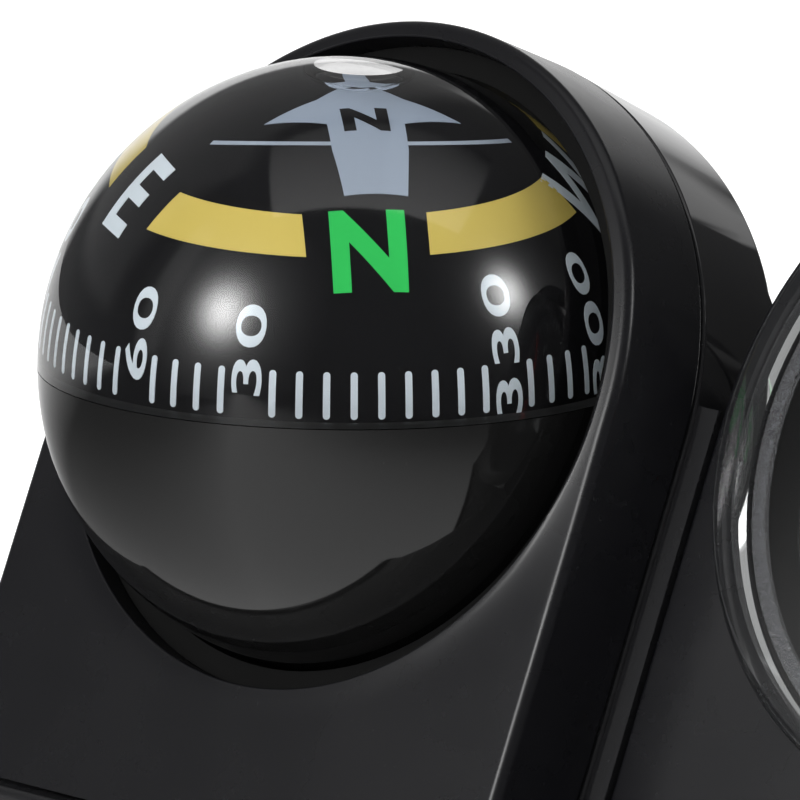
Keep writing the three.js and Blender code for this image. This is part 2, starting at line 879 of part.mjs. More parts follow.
// Flat spiral strip, from the arbor's collar out to the anchor
function bimetalCoil() {
  const steps = coilTurns * coilSteps;
  const edgePoint = (share, side) => {
    const angle = -Math.PI / 2 + coilTurns * 2 * Math.PI * (share - 1);
    const middle = coilInnerRadius + (coilOuterRadius - coilInnerRadius - coilThickness) * share;
    const radius = middle + coilThickness * side;
    return new THREE.Vector2(radius * Math.cos(angle), radius * Math.sin(angle));
  };
  const along = Array.from({ length: steps + 1 }, (_, i) => i / steps);
  const outline = [
    ...along.map((share) => edgePoint(share, 1)),
    ...along.reverse().map((share) => edgePoint(share, 0)),
  ];
  return plate(new THREE.Shape(outline), coilFront - coilHeight, coilFront);
}

function coilAnchor() {
  const foot = cupBack + cupFloor + seatGap;
  return rod(anchorRadius, foot, coilFront).translate([0, anchorPlace, 0]);
}

function pointerHand() {
  const shape = new THREE.Shape();
  const half = pointerWidth / 2;
  const hubHalfAngle = Math.asin(half / pointerHubRadius);
  const hubX = pointerHubRadius * Math.cos(hubHalfAngle);
  shape.moveTo(half, -hubX);
  shape.absarc(0, 0, pointerHubRadius, hubHalfAngle - Math.PI / 2, Math.PI / 2 - hubHalfAngle, false);
  shape.lineTo(pointerTipWidth / 2, pointerLength);
  shape.lineTo(-pointerTipWidth / 2, pointerLength);
  shape.lineTo(-half, hubX);
  shape.absarc(0, 0, pointerHubRadius, Math.PI / 2 + hubHalfAngle, Math.PI * 1.5 - hubHalfAngle, false);
  shape.lineTo(-pointerWidth, -pointerTail);
  shape.lineTo(pointerWidth, -pointerTail);
  shape.closePath();
  shape.holes.push(circle(new THREE.Path(), 0, 0, arborRadius + seatGap));
  return plate(shape, pointerBack, pointerBack + pointerThickness, 0, smallSteps / 2);
}

function pointerCap() {
  const foot = pointerBack + pointerThickness + seatGap;
  const bore = arborRadius + seatGap;
  return turned([
    [bore, foot],
    [capRadius, foot],
    [capRadius, foot + capHeight / 3],
    [capRadius * capCrownShare, foot + capHeight],
    [0, foot + capHeight],
    [0, foot + seatGap],
    [bore, foot + seatGap],
    [bore, foot],
  ], smallSteps);
}

// Materials

const finishes = {
  glossBlack: { color: 0x121214, roughness: 0.18, metalness: 0 },
  satinBlack: { color: 0x1b1b1e, roughness: 0.38, metalness: 0 },
  mattBlack: { color: 0x161616, roughness: 0.7, metalness: 0 },
  foam: { color: 0x2a2a2c, roughness: 0.95, metalness: 0 },
  clear: { color: 0xe8eef0, roughness: 0.05, metalness: 0, transparent: true, opacity: 0.35 },
  card: { color: 0x101011, roughness: 0.5, metalness: 0 },
  white: { color: 0xe6e6e2, roughness: 0.6, metalness: 0 },
  red: { color: 0xb3261c, roughness: 0.5, metalness: 0 },
  steel: { color: 0xb9bcc0, roughness: 0.3, metalness: 1 },
  brass: { color: 0xc9a24a, roughness: 0.35, metalness: 1 },
  magnet: { color: 0x4a4a4e, roughness: 0.55, metalness: 0.6 },
  ruby: { color: 0x9c1030, roughness: 0.1, metalness: 0 },
};

function part(group, name, solid, finish) {
  const mesh = new THREE.Mesh(geometryOf(solid), new THREE.MeshStandardMaterial(finishes[finish]));
  mesh.name = name;
  group.add(mesh);
  return mesh;
}

// Assembly

const unit = new THREE.Group();

const housing = new THREE.Group();
housing.position.copy(ballCentre);
unit.add(housing);
part(housing, 'compass_front_shell', frontShell(compassPod), 'satinBlack');
part(housing, 'gauge_front_shell', frontShell(gaugePod), 'satinBlack');
part(housing, 'rear_shell', rearShell(), 'glossBlack');
part(housing, 'clear_dome', clearDome(), 'clear');
part(housing, 'lower_bowl', lowerBowl(), 'glossBlack');
part(housing, 'fill_plug', fillPlug(), 'mattBlack').rotation.x = podTilt;
part(housing, 'pivot_post', pivotPost(), 'mattBlack');
part(housing, 'pivot_needle', pivotNeedle(), 'steel');
part(housing, 'jewel', jewelCup(), 'ruby');
part(housing, 'jewel_holder', jewelHolder(), 'brass');
part(housing, 'compass_card', compassCard(), 'card');
part(housing, 'card_float', cardFloat(), 'white');
part(housing, 'card_magnet', ringMagnet(), 'magnet');
part(housing, 'capsule_cradle', capsuleCradle(), 'mattBlack').rotation.x = podTilt;

const base = new THREE.Group();
base.position.set(ballCentre.x, ballCentre.y, 0);
unit.add(base);
part(base, 'base_plate', basePlate(), 'satinBlack');
part(base, 'adhesive_pad', adhesivePad(), 'foam');
screwPlaces.forEach(([x, y], i) => {
  part(base, `base_screw_${i + 1}`, baseScrew(), 'steel').position.set(x, y, basePlateBottom);
});

const leaning = new THREE.Group();
leaning.rotation.x = podTilt;
housing.add(leaning);
const gauge = new THREE.Group();
gauge.position.set(gaugeOffset, gaugeRise, 0);
leaning.add(gauge);
part(gauge, 'gauge_lens', gaugeLens(), 'clear');
part(gauge, 'trim_ring', trimRing(), 'steel');
part(gauge, 'gauge_cup', gaugeCup(), 'mattBlack');
part(gauge, 'dial_plate', dialPlate(), 'white');
part(gauge, 'dial_bush', dialBush(), 'brass');
part(gauge, 'rear_bush', rearBush(), 'brass');
part(gauge, 'pointer_arbor', pointerArbor(), 'steel');
part(gauge, 'bimetal_coil', bimetalCoil(), 'brass');
part(gauge, 'coil_anchor', coilAnchor(), 'steel');
part(gauge, 'pointer', pointerHand(), 'red');
part(gauge, 'pointer_cap', pointerCap(), 'mattBlack');
[-dialScrewOffset, dialScrewOffset].forEach((x, i) => {
  part(gauge, `dial_screw_${i + 1}`, dialScrew(), 'steel').position.set(x, 0, 0);
});

export default unit;
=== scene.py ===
"""A dashboard ball compass with a thermometer beside it, dressed for rendering.

Lengths are millimetres from the ball's centre. Leaning pieces are made with Z along the
face's normal. Each mesh is turned, moved and scaled into the frame's metres at the end.
"""
import math

import bmesh
import bpy
from mathutils import Matrix, Vector


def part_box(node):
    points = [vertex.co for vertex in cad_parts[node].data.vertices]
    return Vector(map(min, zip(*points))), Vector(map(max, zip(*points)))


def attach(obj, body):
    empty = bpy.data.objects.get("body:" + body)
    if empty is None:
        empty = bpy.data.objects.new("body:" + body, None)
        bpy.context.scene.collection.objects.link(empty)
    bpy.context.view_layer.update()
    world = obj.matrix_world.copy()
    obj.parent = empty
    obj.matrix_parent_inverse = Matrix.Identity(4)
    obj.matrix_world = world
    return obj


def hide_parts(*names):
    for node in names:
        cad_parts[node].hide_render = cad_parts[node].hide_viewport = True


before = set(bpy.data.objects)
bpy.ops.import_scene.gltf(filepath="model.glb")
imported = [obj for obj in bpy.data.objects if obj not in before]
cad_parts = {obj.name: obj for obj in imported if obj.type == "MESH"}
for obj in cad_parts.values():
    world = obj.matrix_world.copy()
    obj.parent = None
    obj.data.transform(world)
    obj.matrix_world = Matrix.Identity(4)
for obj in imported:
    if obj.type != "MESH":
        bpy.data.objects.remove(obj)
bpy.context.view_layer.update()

MM = 0.001
TURN = 2 * math.pi
QUARTER = math.pi / 2

# Ball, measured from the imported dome
dome_low, dome_high = (Vector(corner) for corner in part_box("clear_dome"))
BALL_RADIUS = (dome_high.x - dome_low.x) / 2 / MM
BALL_CENTRE = Vector((
    (dome_low.x + dome_high.x) / 2,
    (dome_low.y + dome_high.y) / 2,
    dome_high.z - BALL_RADIUS * MM,
))

# The same sizes as the part's source
SEAT_GAP = 0.3
OVERRUN = 20
FACE_LEAN = math.radians(25)
BALL_WALL = 1.2
BALL_HEIGHT = BALL_CENTRE.z / MM
FACE_AHEAD = 1.25
POD_RADIUS = 23.65
POD_WALL = 1.75
POD_DRAFT = 0.45
SOCKET_RADIUS = 21.9
FACE_THICKNESS = 1.8
LIP_RADIUS = 0.7
FRONT_SHELL_DEPTH = 7.25
BACK_PLANE = -14.9
BACK_EDGE_RADIUS = 0.8
BEAD_HEIGHT = 0.18
BEAD_WIDTH = 2.5
BEAD_REACH_SHARE = 1.6
HOLE_EDGE_RADIUS = 0.12
REAR_WALL = 1.6
REAR_DEPTH = 18
REAR_CORNER_RADIUS = 5
BULGE_CLEARANCE = 0.6
WEB_TOP = 2.6
WEB_BOTTOM = -23.2
WEB_SLOPE = 0.85
GAUGE_OFFSET = 50
GAUGE_RISE = 2.4
GAUGE_POD_RADIUS = 24.75
GAUGE_FACE = -6.9
GAUGE_SHELL_DEPTH = 6.5
GAUGE_EDGE_RADIUS = 0.3
GAUGE_BACK_PLANE = -18.4
GAUGE_HOLE_RADIUS = 21
PAD_THICKNESS = 1.2
BASE_THICKNESS = 3.7
BASE_LIP = 1
BASE_CORNER_RADIUS = 3
BASE_EDGE_RADIUS = 0.5
CRADLE_FRONT = -0.5
CARD_RADIUS = 15.4
CARD_WALL = 0.8
CARD_SKIRT = 3
LENS_RADIUS = 22.2
LENS_FRONT = -3.6
LENS_THICKNESS = 1.4
LENS_WALL = 1.3
LENS_CROWN = 0.5
LENS_SHOULDER = 0.8
CUP_RADIUS = 20.7
CUP_WALL = 1.2
CUP_RIM = -7
CUP_BACK = -16.5
CUP_FLOOR = 1
RING_INNER_RADIUS = 19.3
RING_HEIGHT = 0.7
DIAL_FRONT = -9.8
DIAL_THICKNESS = 0.6
DIAL_LEDGE = 1.3
SEAM_EDGE_RADIUS = 0.22

# Worked out
POD_TILT = QUARTER - FACE_LEAN
SEAM_PLANE = FACE_AHEAD - FRONT_SHELL_DEPTH
GAUGE_SEAM_PLANE = GAUGE_FACE - GAUGE_SHELL_DEPTH
INNER_RADIUS = BALL_RADIUS - BALL_WALL
BASE_TOP = PAD_THICKNESS + SEAT_GAP + BASE_THICKNESS
BASE_DROP = BASE_TOP + SEAT_GAP - BALL_HEIGHT
GAUGE_LEFT = GAUGE_OFFSET - GAUGE_POD_RADIUS
GAUGE_RIGHT = GAUGE_OFFSET + GAUGE_POD_RADIUS
UNIT_WIDTH = POD_RADIUS + GAUGE_RIGHT

UPRIGHT = Matrix.Translation(BALL_CENTRE) @ Matrix.Scale(MM, 4)
LEAN = Matrix.Rotation(POD_TILT, 4, "X")
LEANING = UPRIGHT @ LEAN
GAUGE = LEANING @ Matrix.Translation((GAUGE_OFFSET, GAUGE_RISE, 0))

# Fineness
ARCH_STEPS = 72
LATHE_STEPS = 128
EDGE_STEPS = 6
CORNER_STEPS = 12
BEAD_STEPS = 14
BALL_STEPS = 32
CRADLE_STEPS = 16
SHARP_ANGLE = math.radians(28)
MERGE = 1e-5
TINY = 1e-6


# Meshes

def in_scene(name, data):
    obj = bpy.data.objects.new(name, data)
    bpy.context.scene.collection.objects.link(obj)
    return obj


def link(name, bm):
    bmesh.ops.recalc_face_normals(bm, faces=bm.faces)
    mesh = bpy.data.meshes.new(name)
    bm.to_mesh(mesh)
    bm.free()
    return in_scene(name, mesh)


def ring_of_verts(bm, radius, height, steps):
    turns = [i * TURN / steps for i in range(steps)]
    return [bm.verts.new((radius * math.cos(turn), radius * math.sin(turn), height)) for turn in turns]


def skin(bm, rows):
    """Faces between neighbouring closed rows of points."""
    for low, high in zip(rows, rows[1:]):
        for i in range(len(low)):
            j = (i + 1) % len(low)
            bm.faces.new((low[i], low[j], high[j], high[i]))


def lathe(name, profile, closed=True):
    """A turned mesh about Z from (radius, height) points."""
    bm = bmesh.new()
    rings = []
    for radius, height in profile:
        if radius < TINY:
            rings.append([bm.verts.new((0, 0, height))])
            continue
        rings.append(ring_of_verts(bm, radius, height, LATHE_STEPS))
    pairs = list(zip(rings, rings[1:]))
    if closed:
        pairs.append((rings[-1], rings[0]))
    for low, high in pairs:
        if len(low) == 1 and len(high) == 1:
            continue
        for i in range(LATHE_STEPS):
            j = (i + 1) % LATHE_STEPS
            corners = [low[i % len(low)], low[j % len(low)], high[j % len(high)], high[i % len(high)]]
            bm.faces.new(list(dict.fromkeys(corners)))
    return link(name, bm)


def arc(radius, start, end, steps, centre=(0, 0)):
    """Points of an arc, angles in radians."""
    points = []
    for i in range(steps + 1):
        angle = start + (end - start) * i / steps
        points.append((centre[0] + radius * math.cos(angle), centre[1] + radius * math.sin(angle)))
    return points


def arch(x, y, radius):
    """The arch outline of a pod as a function of how far it is drawn in."""
    def outline(inset):
        size = radius - inset
        foot = BASE_DROP - OVERRUN
        return [(x - size, foot), (x + size, foot)] + arc(size, 0, math.pi, ARCH_STEPS, (x, y))
    return outline


def round_hole(x, y, radius):
    def outline(inset):
        return arc(radius + inset, 0, TURN, 2 * ARCH_STEPS, (x, y))[:-1]
    return outline


def edge_levels(back, front, back_edge, front_edge):
    """(inset, height) steps up a plate's side, with both edges rounded."""
    turns = [i / EDGE_STEPS * QUARTER for i in range(EDGE_STEPS + 1)]
    rounds = [(1 - math.sin(turn), 1 - math.cos(turn)) for turn in turns]
    levels = [(back_edge * sine, back + back_edge * cosine) for sine, cosine in rounds]
    levels += [(front_edge * cosine, front - front_edge * sine) for sine, cosine in rounds]
    kept = []
    for level in levels:
        if not kept or abs(level[0] - kept[-1][0]) + abs(level[1] - kept[-1][1]) > TINY:
            kept.append(level)
    return kept


def plate(name, outlines, back, front, back_edge=0.0, front_edge=0.0):
    """A closed plate of one outline and its holes between two heights."""
    bm = bmesh.new()
    levels = edge_levels(back, front, back_edge, front_edge)
    caps = [[], []]
    for outline in outlines:
        loops = [[bm.verts.new((px, py, height)) for px, py in outline(inset)] for inset, height in levels]
        skin(bm, loops)
        for cap, loop in ((caps[0], loops[0]), (caps[1], loops[-1])):
            cap += [bm.edges.get((loop[i], loop[(i + 1) % len(loop)])) for i in range(len(loop))]
    for cap in caps:
        bmesh.ops.triangle_fill(bm, edges=cap, use_beauty=True)
    return link(name, bm)


def block(name, low, high):
    bm = bmesh.new()
    bmesh.ops.create_cube(bm, size=1)
    for vert in bm.verts:
        vert.co = Vector([low[k] + (vert.co[k] + 0.5) * (high[k] - low[k]) for k in range(3)])
    return link(name, bm)


def layer(low, high):
    """Everything between two heights, wider than the whole unit."""
    reach = UNIT_WIDTH + OVERRUN
    return block("layer", (-reach, -reach, low), (reach, reach, high))


def under_base():
    return layer(BASE_DROP - 3 * OVERRUN, BASE_DROP)


def turned(obj, matrix):
    obj.data.transform(matrix)
    return obj


def evaluated_mesh(obj):
    return bpy.data.meshes.new_from_object(obj.evaluated_get(bpy.context.evaluated_depsgraph_get()))


def combine(target, tool, operation):
    """Joins or cuts two closed meshes, and drops the tool."""
    modifier = target.modifiers.new("join", "BOOLEAN")
    modifier.operation = operation
    modifier.solver = "MANIFOLD"
    modifier.object = tool
    mesh = evaluated_mesh(target)
    target.modifiers.clear()
    old = target.data
    target.data = mesh
    bpy.data.meshes.remove(old)
    bpy.data.objects.remove(tool)
    return target


def add(target, tool):
    return combine(target, tool, "UNION")


def cut(target, tool):
    return combine(target, tool, "DIFFERENCE")


def keep(target, tool):
    return combine(target, tool, "INTERSECT")


def shade(obj):
    """Smooth faces with sharp creases, the flat faces kept flat by weighted normals."""
    for polygon in obj.data.polygons:
        polygon.use_smooth = True
    obj.data.set_sharp_from_angle(angle=SHARP_ANGLE)
    weighted = obj.modifiers.new("weighted", "WEIGHTED_NORMAL")
    weighted.keep_sharp = True


def dress(obj, name, matrix, material, replaces=(), body="root"):
    """Puts a finished mesh in its place in the frame, on its body."""
    obj.name = name
    obj.data.name = name
    obj.data.transform(matrix)
    obj.data.materials.clear()
    obj.data.materials.append(material)
    shade(obj)
    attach(obj, body)
    if replaces:
        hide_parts(*replaces)


# Materials

class Nodes:
    """A short way to write a node tree."""

    def __init__(self, tree):
        self.tree = tree
        tree.nodes.clear()

    def new(self, kind, inputs=None, **settings):
        """A node, its inputs by name or by index: each is linked or set."""
        node = self.tree.nodes.new(kind)
        for key, value in settings.items():
            setattr(node, key, value)
        for key, value in (inputs or {}).items():
            if isinstance(value, bpy.types.NodeSocket):
                self.tree.links.new(value, node.inputs[key])
            else:
                node.inputs[key].default_value = value
        return node

    def maths(self, operation, *values):
        return self.new("ShaderNodeMath", dict(enumerate(values)), operation=operation).outputs[0]

    def times(self, *values):
        total = values[0]
        for value in values[1:]:
            total = self.maths("MULTIPLY", total, value)
        return total

    def vectors(self, operation, first, second, result="Value"):
        inputs = {0: first, 1: tuple(second)}
        return self.new("ShaderNodeVectorMath", inputs, operation=operation).outputs[result]

    def place(self):
        return self.new("ShaderNodeTexCoord").outputs["Object"]

    def noise(self, scale, detail=3.0, roughness=0.5):
        inputs = {"Vector": self.place(), "Scale": scale, "Detail": detail, "Roughness": roughness}
        return self.new("ShaderNodeTexNoise", inputs).outputs["Fac"]

    def mapped(self, value, start, end, **settings):
        ends = dict(zip(("From Min", "From Max", "To Min", "To Max"), (*start, *end)))
        return self.new("ShaderNodeMapRange", {"Value": value, **ends}, **settings).outputs[0]

    def around(self, value, mean, share):
        return self.mapped(value, (0, 1), (mean * (1 - share), mean * (1 + share)))

    def ramp(self, value, *start):
        """Smoothly from 0 at the first to 1 at the second, whichever is the greater."""
        return self.mapped(value, start, (0, 1), interpolation_type="SMOOTHSTEP")

    def bump(self, height):
        return self.new("ShaderNodeBump", {"Height": height, "Distance": MM}).outputs[0]

    def surface(self, shader):
        self.new("ShaderNodeOutputMaterial", {"Surface": shader.outputs[0]})


# Refractive indices: the clear moulding's, the liquid's, and the inks' against the liquid
ACRYLIC = 1.49
LIQUID = 1.34
WETTED = 1.07
# Noises: scale, detail and roughness, where they differ from the usual
CLOUD_NOISE = (130.0, 5.0, 0.6)
SPECK_NOISE = (2600.0, 2.0, 0.7)
WAVE_NOISE = (110.0, 1.0)
HAZE_NOISE = (160.0, 4.0)
STREAK_SCALE, STREAK_DETAIL = 9.0, 4.0
GRAIN_DETAIL = 2.0
DUST_TONE = 0.3
DUST_EDGES = (0.68, 0.8)
# How far the roughness strays from its mean, as shares of it
CLOUD_SHARE = 0.35
HAZE_SHARE = 0.7
STREAK_SHARES = (0.6, 1.5)
CLEAR_ROUGHNESS = 0.01


def blank(name):
    material = bpy.data.materials.new(name)
    material.use_nodes = True
    return material, Nodes(material.node_tree)


def plastic(name, colour, roughness, grain=0.0, grain_scale=900.0, wave=0.0, dust=0.04, ior=1.5):
    """Moulded plastic: cloudy roughness, faint dust, fine grain and slow waviness."""
    material, nodes = blank(name)
    dusty = nodes.mapped(nodes.noise(*SPECK_NOISE), DUST_EDGES, (0, dust))
    pale = [min(1.0, channel + DUST_TONE) for channel in colour]
    # The colour mix's sockets go by index, because their names repeat
    tint = nodes.new("ShaderNodeMix", {0: dusty, 6: (*colour, 1), 7: (*pale, 1)}, data_type="RGBA")
    rough = nodes.around(nodes.noise(*CLOUD_NOISE), roughness, CLOUD_SHARE)
    fine = nodes.times(nodes.noise(grain_scale, GRAIN_DETAIL), grain)
    slow = nodes.times(nodes.noise(*WAVE_NOISE), wave)
    shader = nodes.new("ShaderNodeBsdfPrincipled", {
        "Base Color": tint.outputs[2],
        "Roughness": rough,
        "IOR": ior,
        "Normal": nodes.bump(nodes.maths("ADD", fine, slow)),
    })
    nodes.surface(shader)
    return material


def ink(name, colour):
    """Print under the liquid."""
    return plastic(name, colour, 0.5, grain=0.001, dust=0.0, ior=WETTED)


def metal(name, colour, roughness, brush=0.02, scale=(400.0, 400.0, 60.0)):
    """Turned or drawn metal, its roughness streaked along one direction."""
    material, nodes = blank(name)
    stretched = nodes.new("ShaderNodeMapping", {"Vector": nodes.place(), "Scale": scale}).outputs[0]
    streak = nodes.new("ShaderNodeTexNoise", {
        "Vector": stretched, "Scale": STREAK_SCALE, "Detail": STREAK_DETAIL}).outputs["Fac"]
    shader = nodes.new("ShaderNodeBsdfPrincipled", {
        "Base Color": (*colour, 1),
        "Metallic": 1.0,
        "Roughness": nodes.mapped(streak, (0, 1), [roughness * share for share in STREAK_SHARES]),
        "Normal": nodes.bump(nodes.times(streak, brush)),
    })
    nodes.surface(shader)
    return material


def clear(name, colour, ior):
    """Clear moulding that lets lamps through to what is behind it."""
    material, nodes = blank(name)
    haze = nodes.around(nodes.noise(*HAZE_NOISE), CLEAR_ROUGHNESS, HAZE_SHARE)
    shader = nodes.new("ShaderNodeBsdfPrincipled", {
        "Base Color": (*colour, 1),
        "Transmission Weight": 1.0,
        "IOR": ior,
        "Roughness": haze,
    })
    through = nodes.new("ShaderNodeBsdfTransparent", {"Color": (*colour, 1)})
    shadow = nodes.new("ShaderNodeLightPath").outputs["Is Shadow Ray"]
    mix = nodes.new("ShaderNodeMixShader", {0: shadow, 1: shader.outputs[0], 2: through.outputs[0]})
    nodes.surface(mix)
    return material


FACE = plastic("face_gloss", (0.0055, 0.0055, 0.0066), 0.27, grain=0.0003, grain_scale=1500.0,
               wave=0.008, ior=1.39)
GLOSS = plastic("housing_gloss", (0.011, 0.011, 0.012), 0.06, wave=0.02)
BOWL = plastic("bowl_gloss", (0.006, 0.006, 0.006), 0.05, wave=0.0)
MATT = plastic("inner_matt", (0.006, 0.006, 0.006), 0.7, grain=0.004, ior=1.15)
CARD = plastic("card_black", (0.008, 0.008, 0.009), 0.35, grain=0.0002, ior=WETTED)
WELD = plastic("weld_black", (0.008, 0.008, 0.008), 0.5, grain=0.001, ior=WETTED)
INK_WHITE = ink("ink_pale", (0.68, 0.76, 0.82))
INK_LINE = ink("ink_line", (0.36, 0.42, 0.5))
INK_GREEN = ink("ink_green", (0.04, 0.6, 0.12))
INK_YELLOW = ink("ink_yellow", (0.66, 0.52, 0.13))
INK_BLUE = ink("ink_blue_grey", (0.32, 0.38, 0.47))
DIAL_INK = plastic("dial_ink", (0.6, 0.62, 0.63), 0.5, grain=0.001, dust=0.0)
DIAL_BLACK = plastic("dial_black", (0.02, 0.02, 0.021), 0.45, grain=0.0005)
PAINT_RED = plastic("pointer_red", (0.62, 0.035, 0.015), 0.3, grain=0.001, dust=0.0)
FOAM = plastic("foam_black", (0.035, 0.035, 0.037), 0.9, grain=0.06, grain_scale=2200.0)
RUBBER = plastic("plug_rubber_black", (0.03, 0.03, 0.03), 0.6, grain=0.01)
WHITE = plastic("float_white", (0.62, 0.62, 0.58), 0.5, grain=0.003)
FERRITE = plastic("ferrite_grey", (0.06, 0.06, 0.065), 0.55, grain=0.02, grain_scale=1800.0)
RUBY = plastic("ruby_red", (0.4, 0.01, 0.05), 0.06, dust=0.0)
STEEL = metal("bright_steel", (0.62, 0.62, 0.64), 0.25)
BRASS = metal("turned_brass", (0.72, 0.53, 0.24), 0.3)
BIMETAL = metal("rolled_bimetal", (0.62, 0.52, 0.36), 0.35)
SPARKLE = metal("sparkling_foil", (0.72, 0.72, 0.75), 0.16, brush=1.0, scale=(600.0, 600.0, 600.0))
DOME_OUTER = clear("dome_clear", (1.0, 1.0, 1.0), ACRYLIC)
DOME_INNER = clear("dome_wetted", (1.0, 1.0, 1.0), ACRYLIC / LIQUID)
BUBBLE = clear("bubble_air", (1.0, 1.0, 1.0), 1 / LIQUID)
LENS = clear("lens_clear", (0.97, 0.98, 0.98), ACRYLIC)


# Camera, from a fit of the photograph's outlines

IMAGE_SIZE = 800
FOCAL_PIXELS = 6014.1
SENSOR = 36
CAMERA_DISTANCE = 388.94
CAMERA_AZIMUTH = math.radians(42.07)
CAMERA_ELEVATION = math.radians(11.53)
AIM_YAW = math.radians(0.508)
AIM_PITCH = math.radians(0.333)
AIM_ROLL = math.radians(-0.244)


def make_camera():
    data = bpy.data.cameras.new("camera")
    data.sensor_width = SENSOR
    data.lens = FOCAL_PIXELS * SENSOR / IMAGE_SIZE
    data.clip_start = 0.01
    data.clip_end = 20
    camera = in_scene("camera", data)
    around = Matrix.Rotation(CAMERA_AZIMUTH, 4, "Z")
    lift = Matrix.Rotation(QUARTER - CAMERA_ELEVATION, 4, "X")
    back = Matrix.Translation((0, 0, CAMERA_DISTANCE * MM))
    aim = Matrix.Rotation(AIM_ROLL, 4, "Z") @ Matrix.Rotation(AIM_PITCH, 4, "X") \
        @ Matrix.Rotation(AIM_YAW, 4, "Y")
    camera.matrix_world = Matrix.Translation(BALL_CENTRE) @ around @ lift @ back @ aim.inverted()
    bpy.context.scene.camera = camera


# Housing

def bead_rise(radius):
    """Height of the low bead round the ball's hole, fading softly into the face."""
    share = (radius - SOCKET_RADIUS) / BEAD_WIDTH
    return BEAD_HEIGHT * (1 - min(max(share, 0), 1)) ** 3


def edge_distance(angle, size):
    """How far the arch outline of a size lies from the pod's axis in one direction."""
    if math.sin(angle) >= 0:
        return size
    side = size / max(abs(math.cos(angle)), TINY)
    foot = (BASE_DROP - OVERRUN) / math.sin(angle)
    return min(side, foot)


def shell_section(angle):
    """(distance, depth) points of the compass pod's front shell in one direction from its axis."""
    def size_at(depth):
        return POD_RADIUS - POD_DRAFT * (depth - SEAM_PLANE) / FRONT_SHELL_DEPTH
    crest = FACE_AHEAD + bead_rise(SOCKET_RADIUS)
    points = [(SOCKET_RADIUS, SEAM_PLANE)]
    points += reversed(arc(HOLE_EDGE_RADIUS, QUARTER, math.pi, EDGE_STEPS,
                           (SOCKET_RADIUS + HOLE_EDGE_RADIUS, crest - HOLE_EDGE_RADIUS)))
    start = SOCKET_RADIUS + HOLE_EDGE_RADIUS
    level = edge_distance(angle, size_at(FACE_AHEAD) - LIP_RADIUS)
    reach = min(BEAD_REACH_SHARE * BEAD_WIDTH, level - start)
    for k in range(1, BEAD_STEPS + 1):
        radius = start + reach * k / BEAD_STEPS
        points.append((radius, FACE_AHEAD + bead_rise(radius)))
    top = FACE_AHEAD + bead_rise(level)
    points.append((level, top))
    for k in range(1, EDGE_STEPS + 1):
        turn = QUARTER * k / EDGE_STEPS
        size = size_at(FACE_AHEAD) - LIP_RADIUS * (1 - math.sin(turn))
        points.append((edge_distance(angle, size), top - LIP_RADIUS * (1 - math.cos(turn))))
    for k in range(EDGE_STEPS + 1):
        turn = QUARTER * k / EDGE_STEPS
        size = POD_RADIUS - SEAM_EDGE_RADIUS * (1 - math.cos(turn))
        points.append((edge_distance(angle, size), SEAM_PLANE + SEAM_EDGE_RADIUS * (1 - math.sin(turn))))
    return points


def compass_front():
    bm = bmesh.new()
    columns = []
    for i in range(4 * ARCH_STEPS):
        angle = TURN * i / (4 * ARCH_STEPS)
        columns.append([bm.verts.new((reach * math.cos(angle), reach * math.sin(angle), depth))
                        for reach, depth in shell_section(angle)])
    for a, b in zip(columns, columns[1:] + columns[:1]):
        for k in range(len(a)):
            n = (k + 1) % len(a)
            bm.faces.new((a[k], b[k], b[n], a[n]))
    bmesh.ops.remove_doubles(bm, verts=bm.verts, dist=MERGE)
    shell = link("compass_front", bm)
    hollow = plate("hollow", [arch(0, 0, POD_RADIUS - POD_DRAFT - POD_WALL)], SEAM_PLANE - OVERRUN,
                   FACE_AHEAD - FACE_THICKNESS)
    rim = plate("rim", [round_hole(0, 0, SOCKET_RADIUS + POD_WALL)], SEAM_PLANE - 2 * OVERRUN, FACE_AHEAD)
    cut(shell, cut(hollow, rim))
    turned(shell, LEAN)
    cut(shell, under_base())
    dress(shell, "compass_front", UPRIGHT, FACE, ["compass_front_shell"])


def gauge_arch(radius):
    return arch(GAUGE_OFFSET, GAUGE_RISE, radius)


def gauge_front():
    shell = plate("gauge_front", [gauge_arch(GAUGE_POD_RADIUS),
                                  round_hole(GAUGE_OFFSET, GAUGE_RISE, GAUGE_HOLE_RADIUS)],
                  GAUGE_SEAM_PLANE, GAUGE_FACE, SEAM_EDGE_RADIUS, GAUGE_EDGE_RADIUS)
    cut(shell, plate("hollow", [gauge_arch(GAUGE_POD_RADIUS - REAR_WALL)],
                     GAUGE_SEAM_PLANE - OVERRUN, GAUGE_FACE - FACE_THICKNESS))
    turned(shell, LEAN)
    cut(shell, under_base())
    dress(shell, "gauge_front", UPRIGHT, FACE, ["gauge_front_shell"])


def foot_prism(inset):
    """The upright rear foot of the housing, seen from above."""
    left, right = -POD_RADIUS + inset, GAUGE_RIGHT - inset
    back = REAR_DEPTH - inset
    corner = REAR_CORNER_RADIUS - inset

    def outline(_):
        front = -BALL_RADIUS - OVERRUN
        return (
            [(left, front), (right, front)]
            + arc(corner, 0, QUARTER, CORNER_STEPS, (right - corner, back - corner))
            + arc(corner, QUARTER, math.pi, CORNER_STEPS, (left + corner, back - corner))
        )
    return plate("foot", [outline], BASE_DROP - OVERRUN, BALL_RADIUS + OVERRUN)


def rear_block(x, y, radius, seam, back, inset):
    outline = arch(x, y, radius - inset)
    front = seam - SEAT_GAP + (OVERRUN if inset else 0)
    edges = (0, 0) if inset else (BACK_EDGE_RADIUS, SEAM_EDGE_RADIUS)
    slab = turned(plate("slab", [outline], back + inset, front, *edges), LEAN)
    long = turned(plate("long", [outline], back - 2 * OVERRUN, front, 0, edges[1]), LEAN)
    return add(slab, keep(long, foot_prism(inset)))


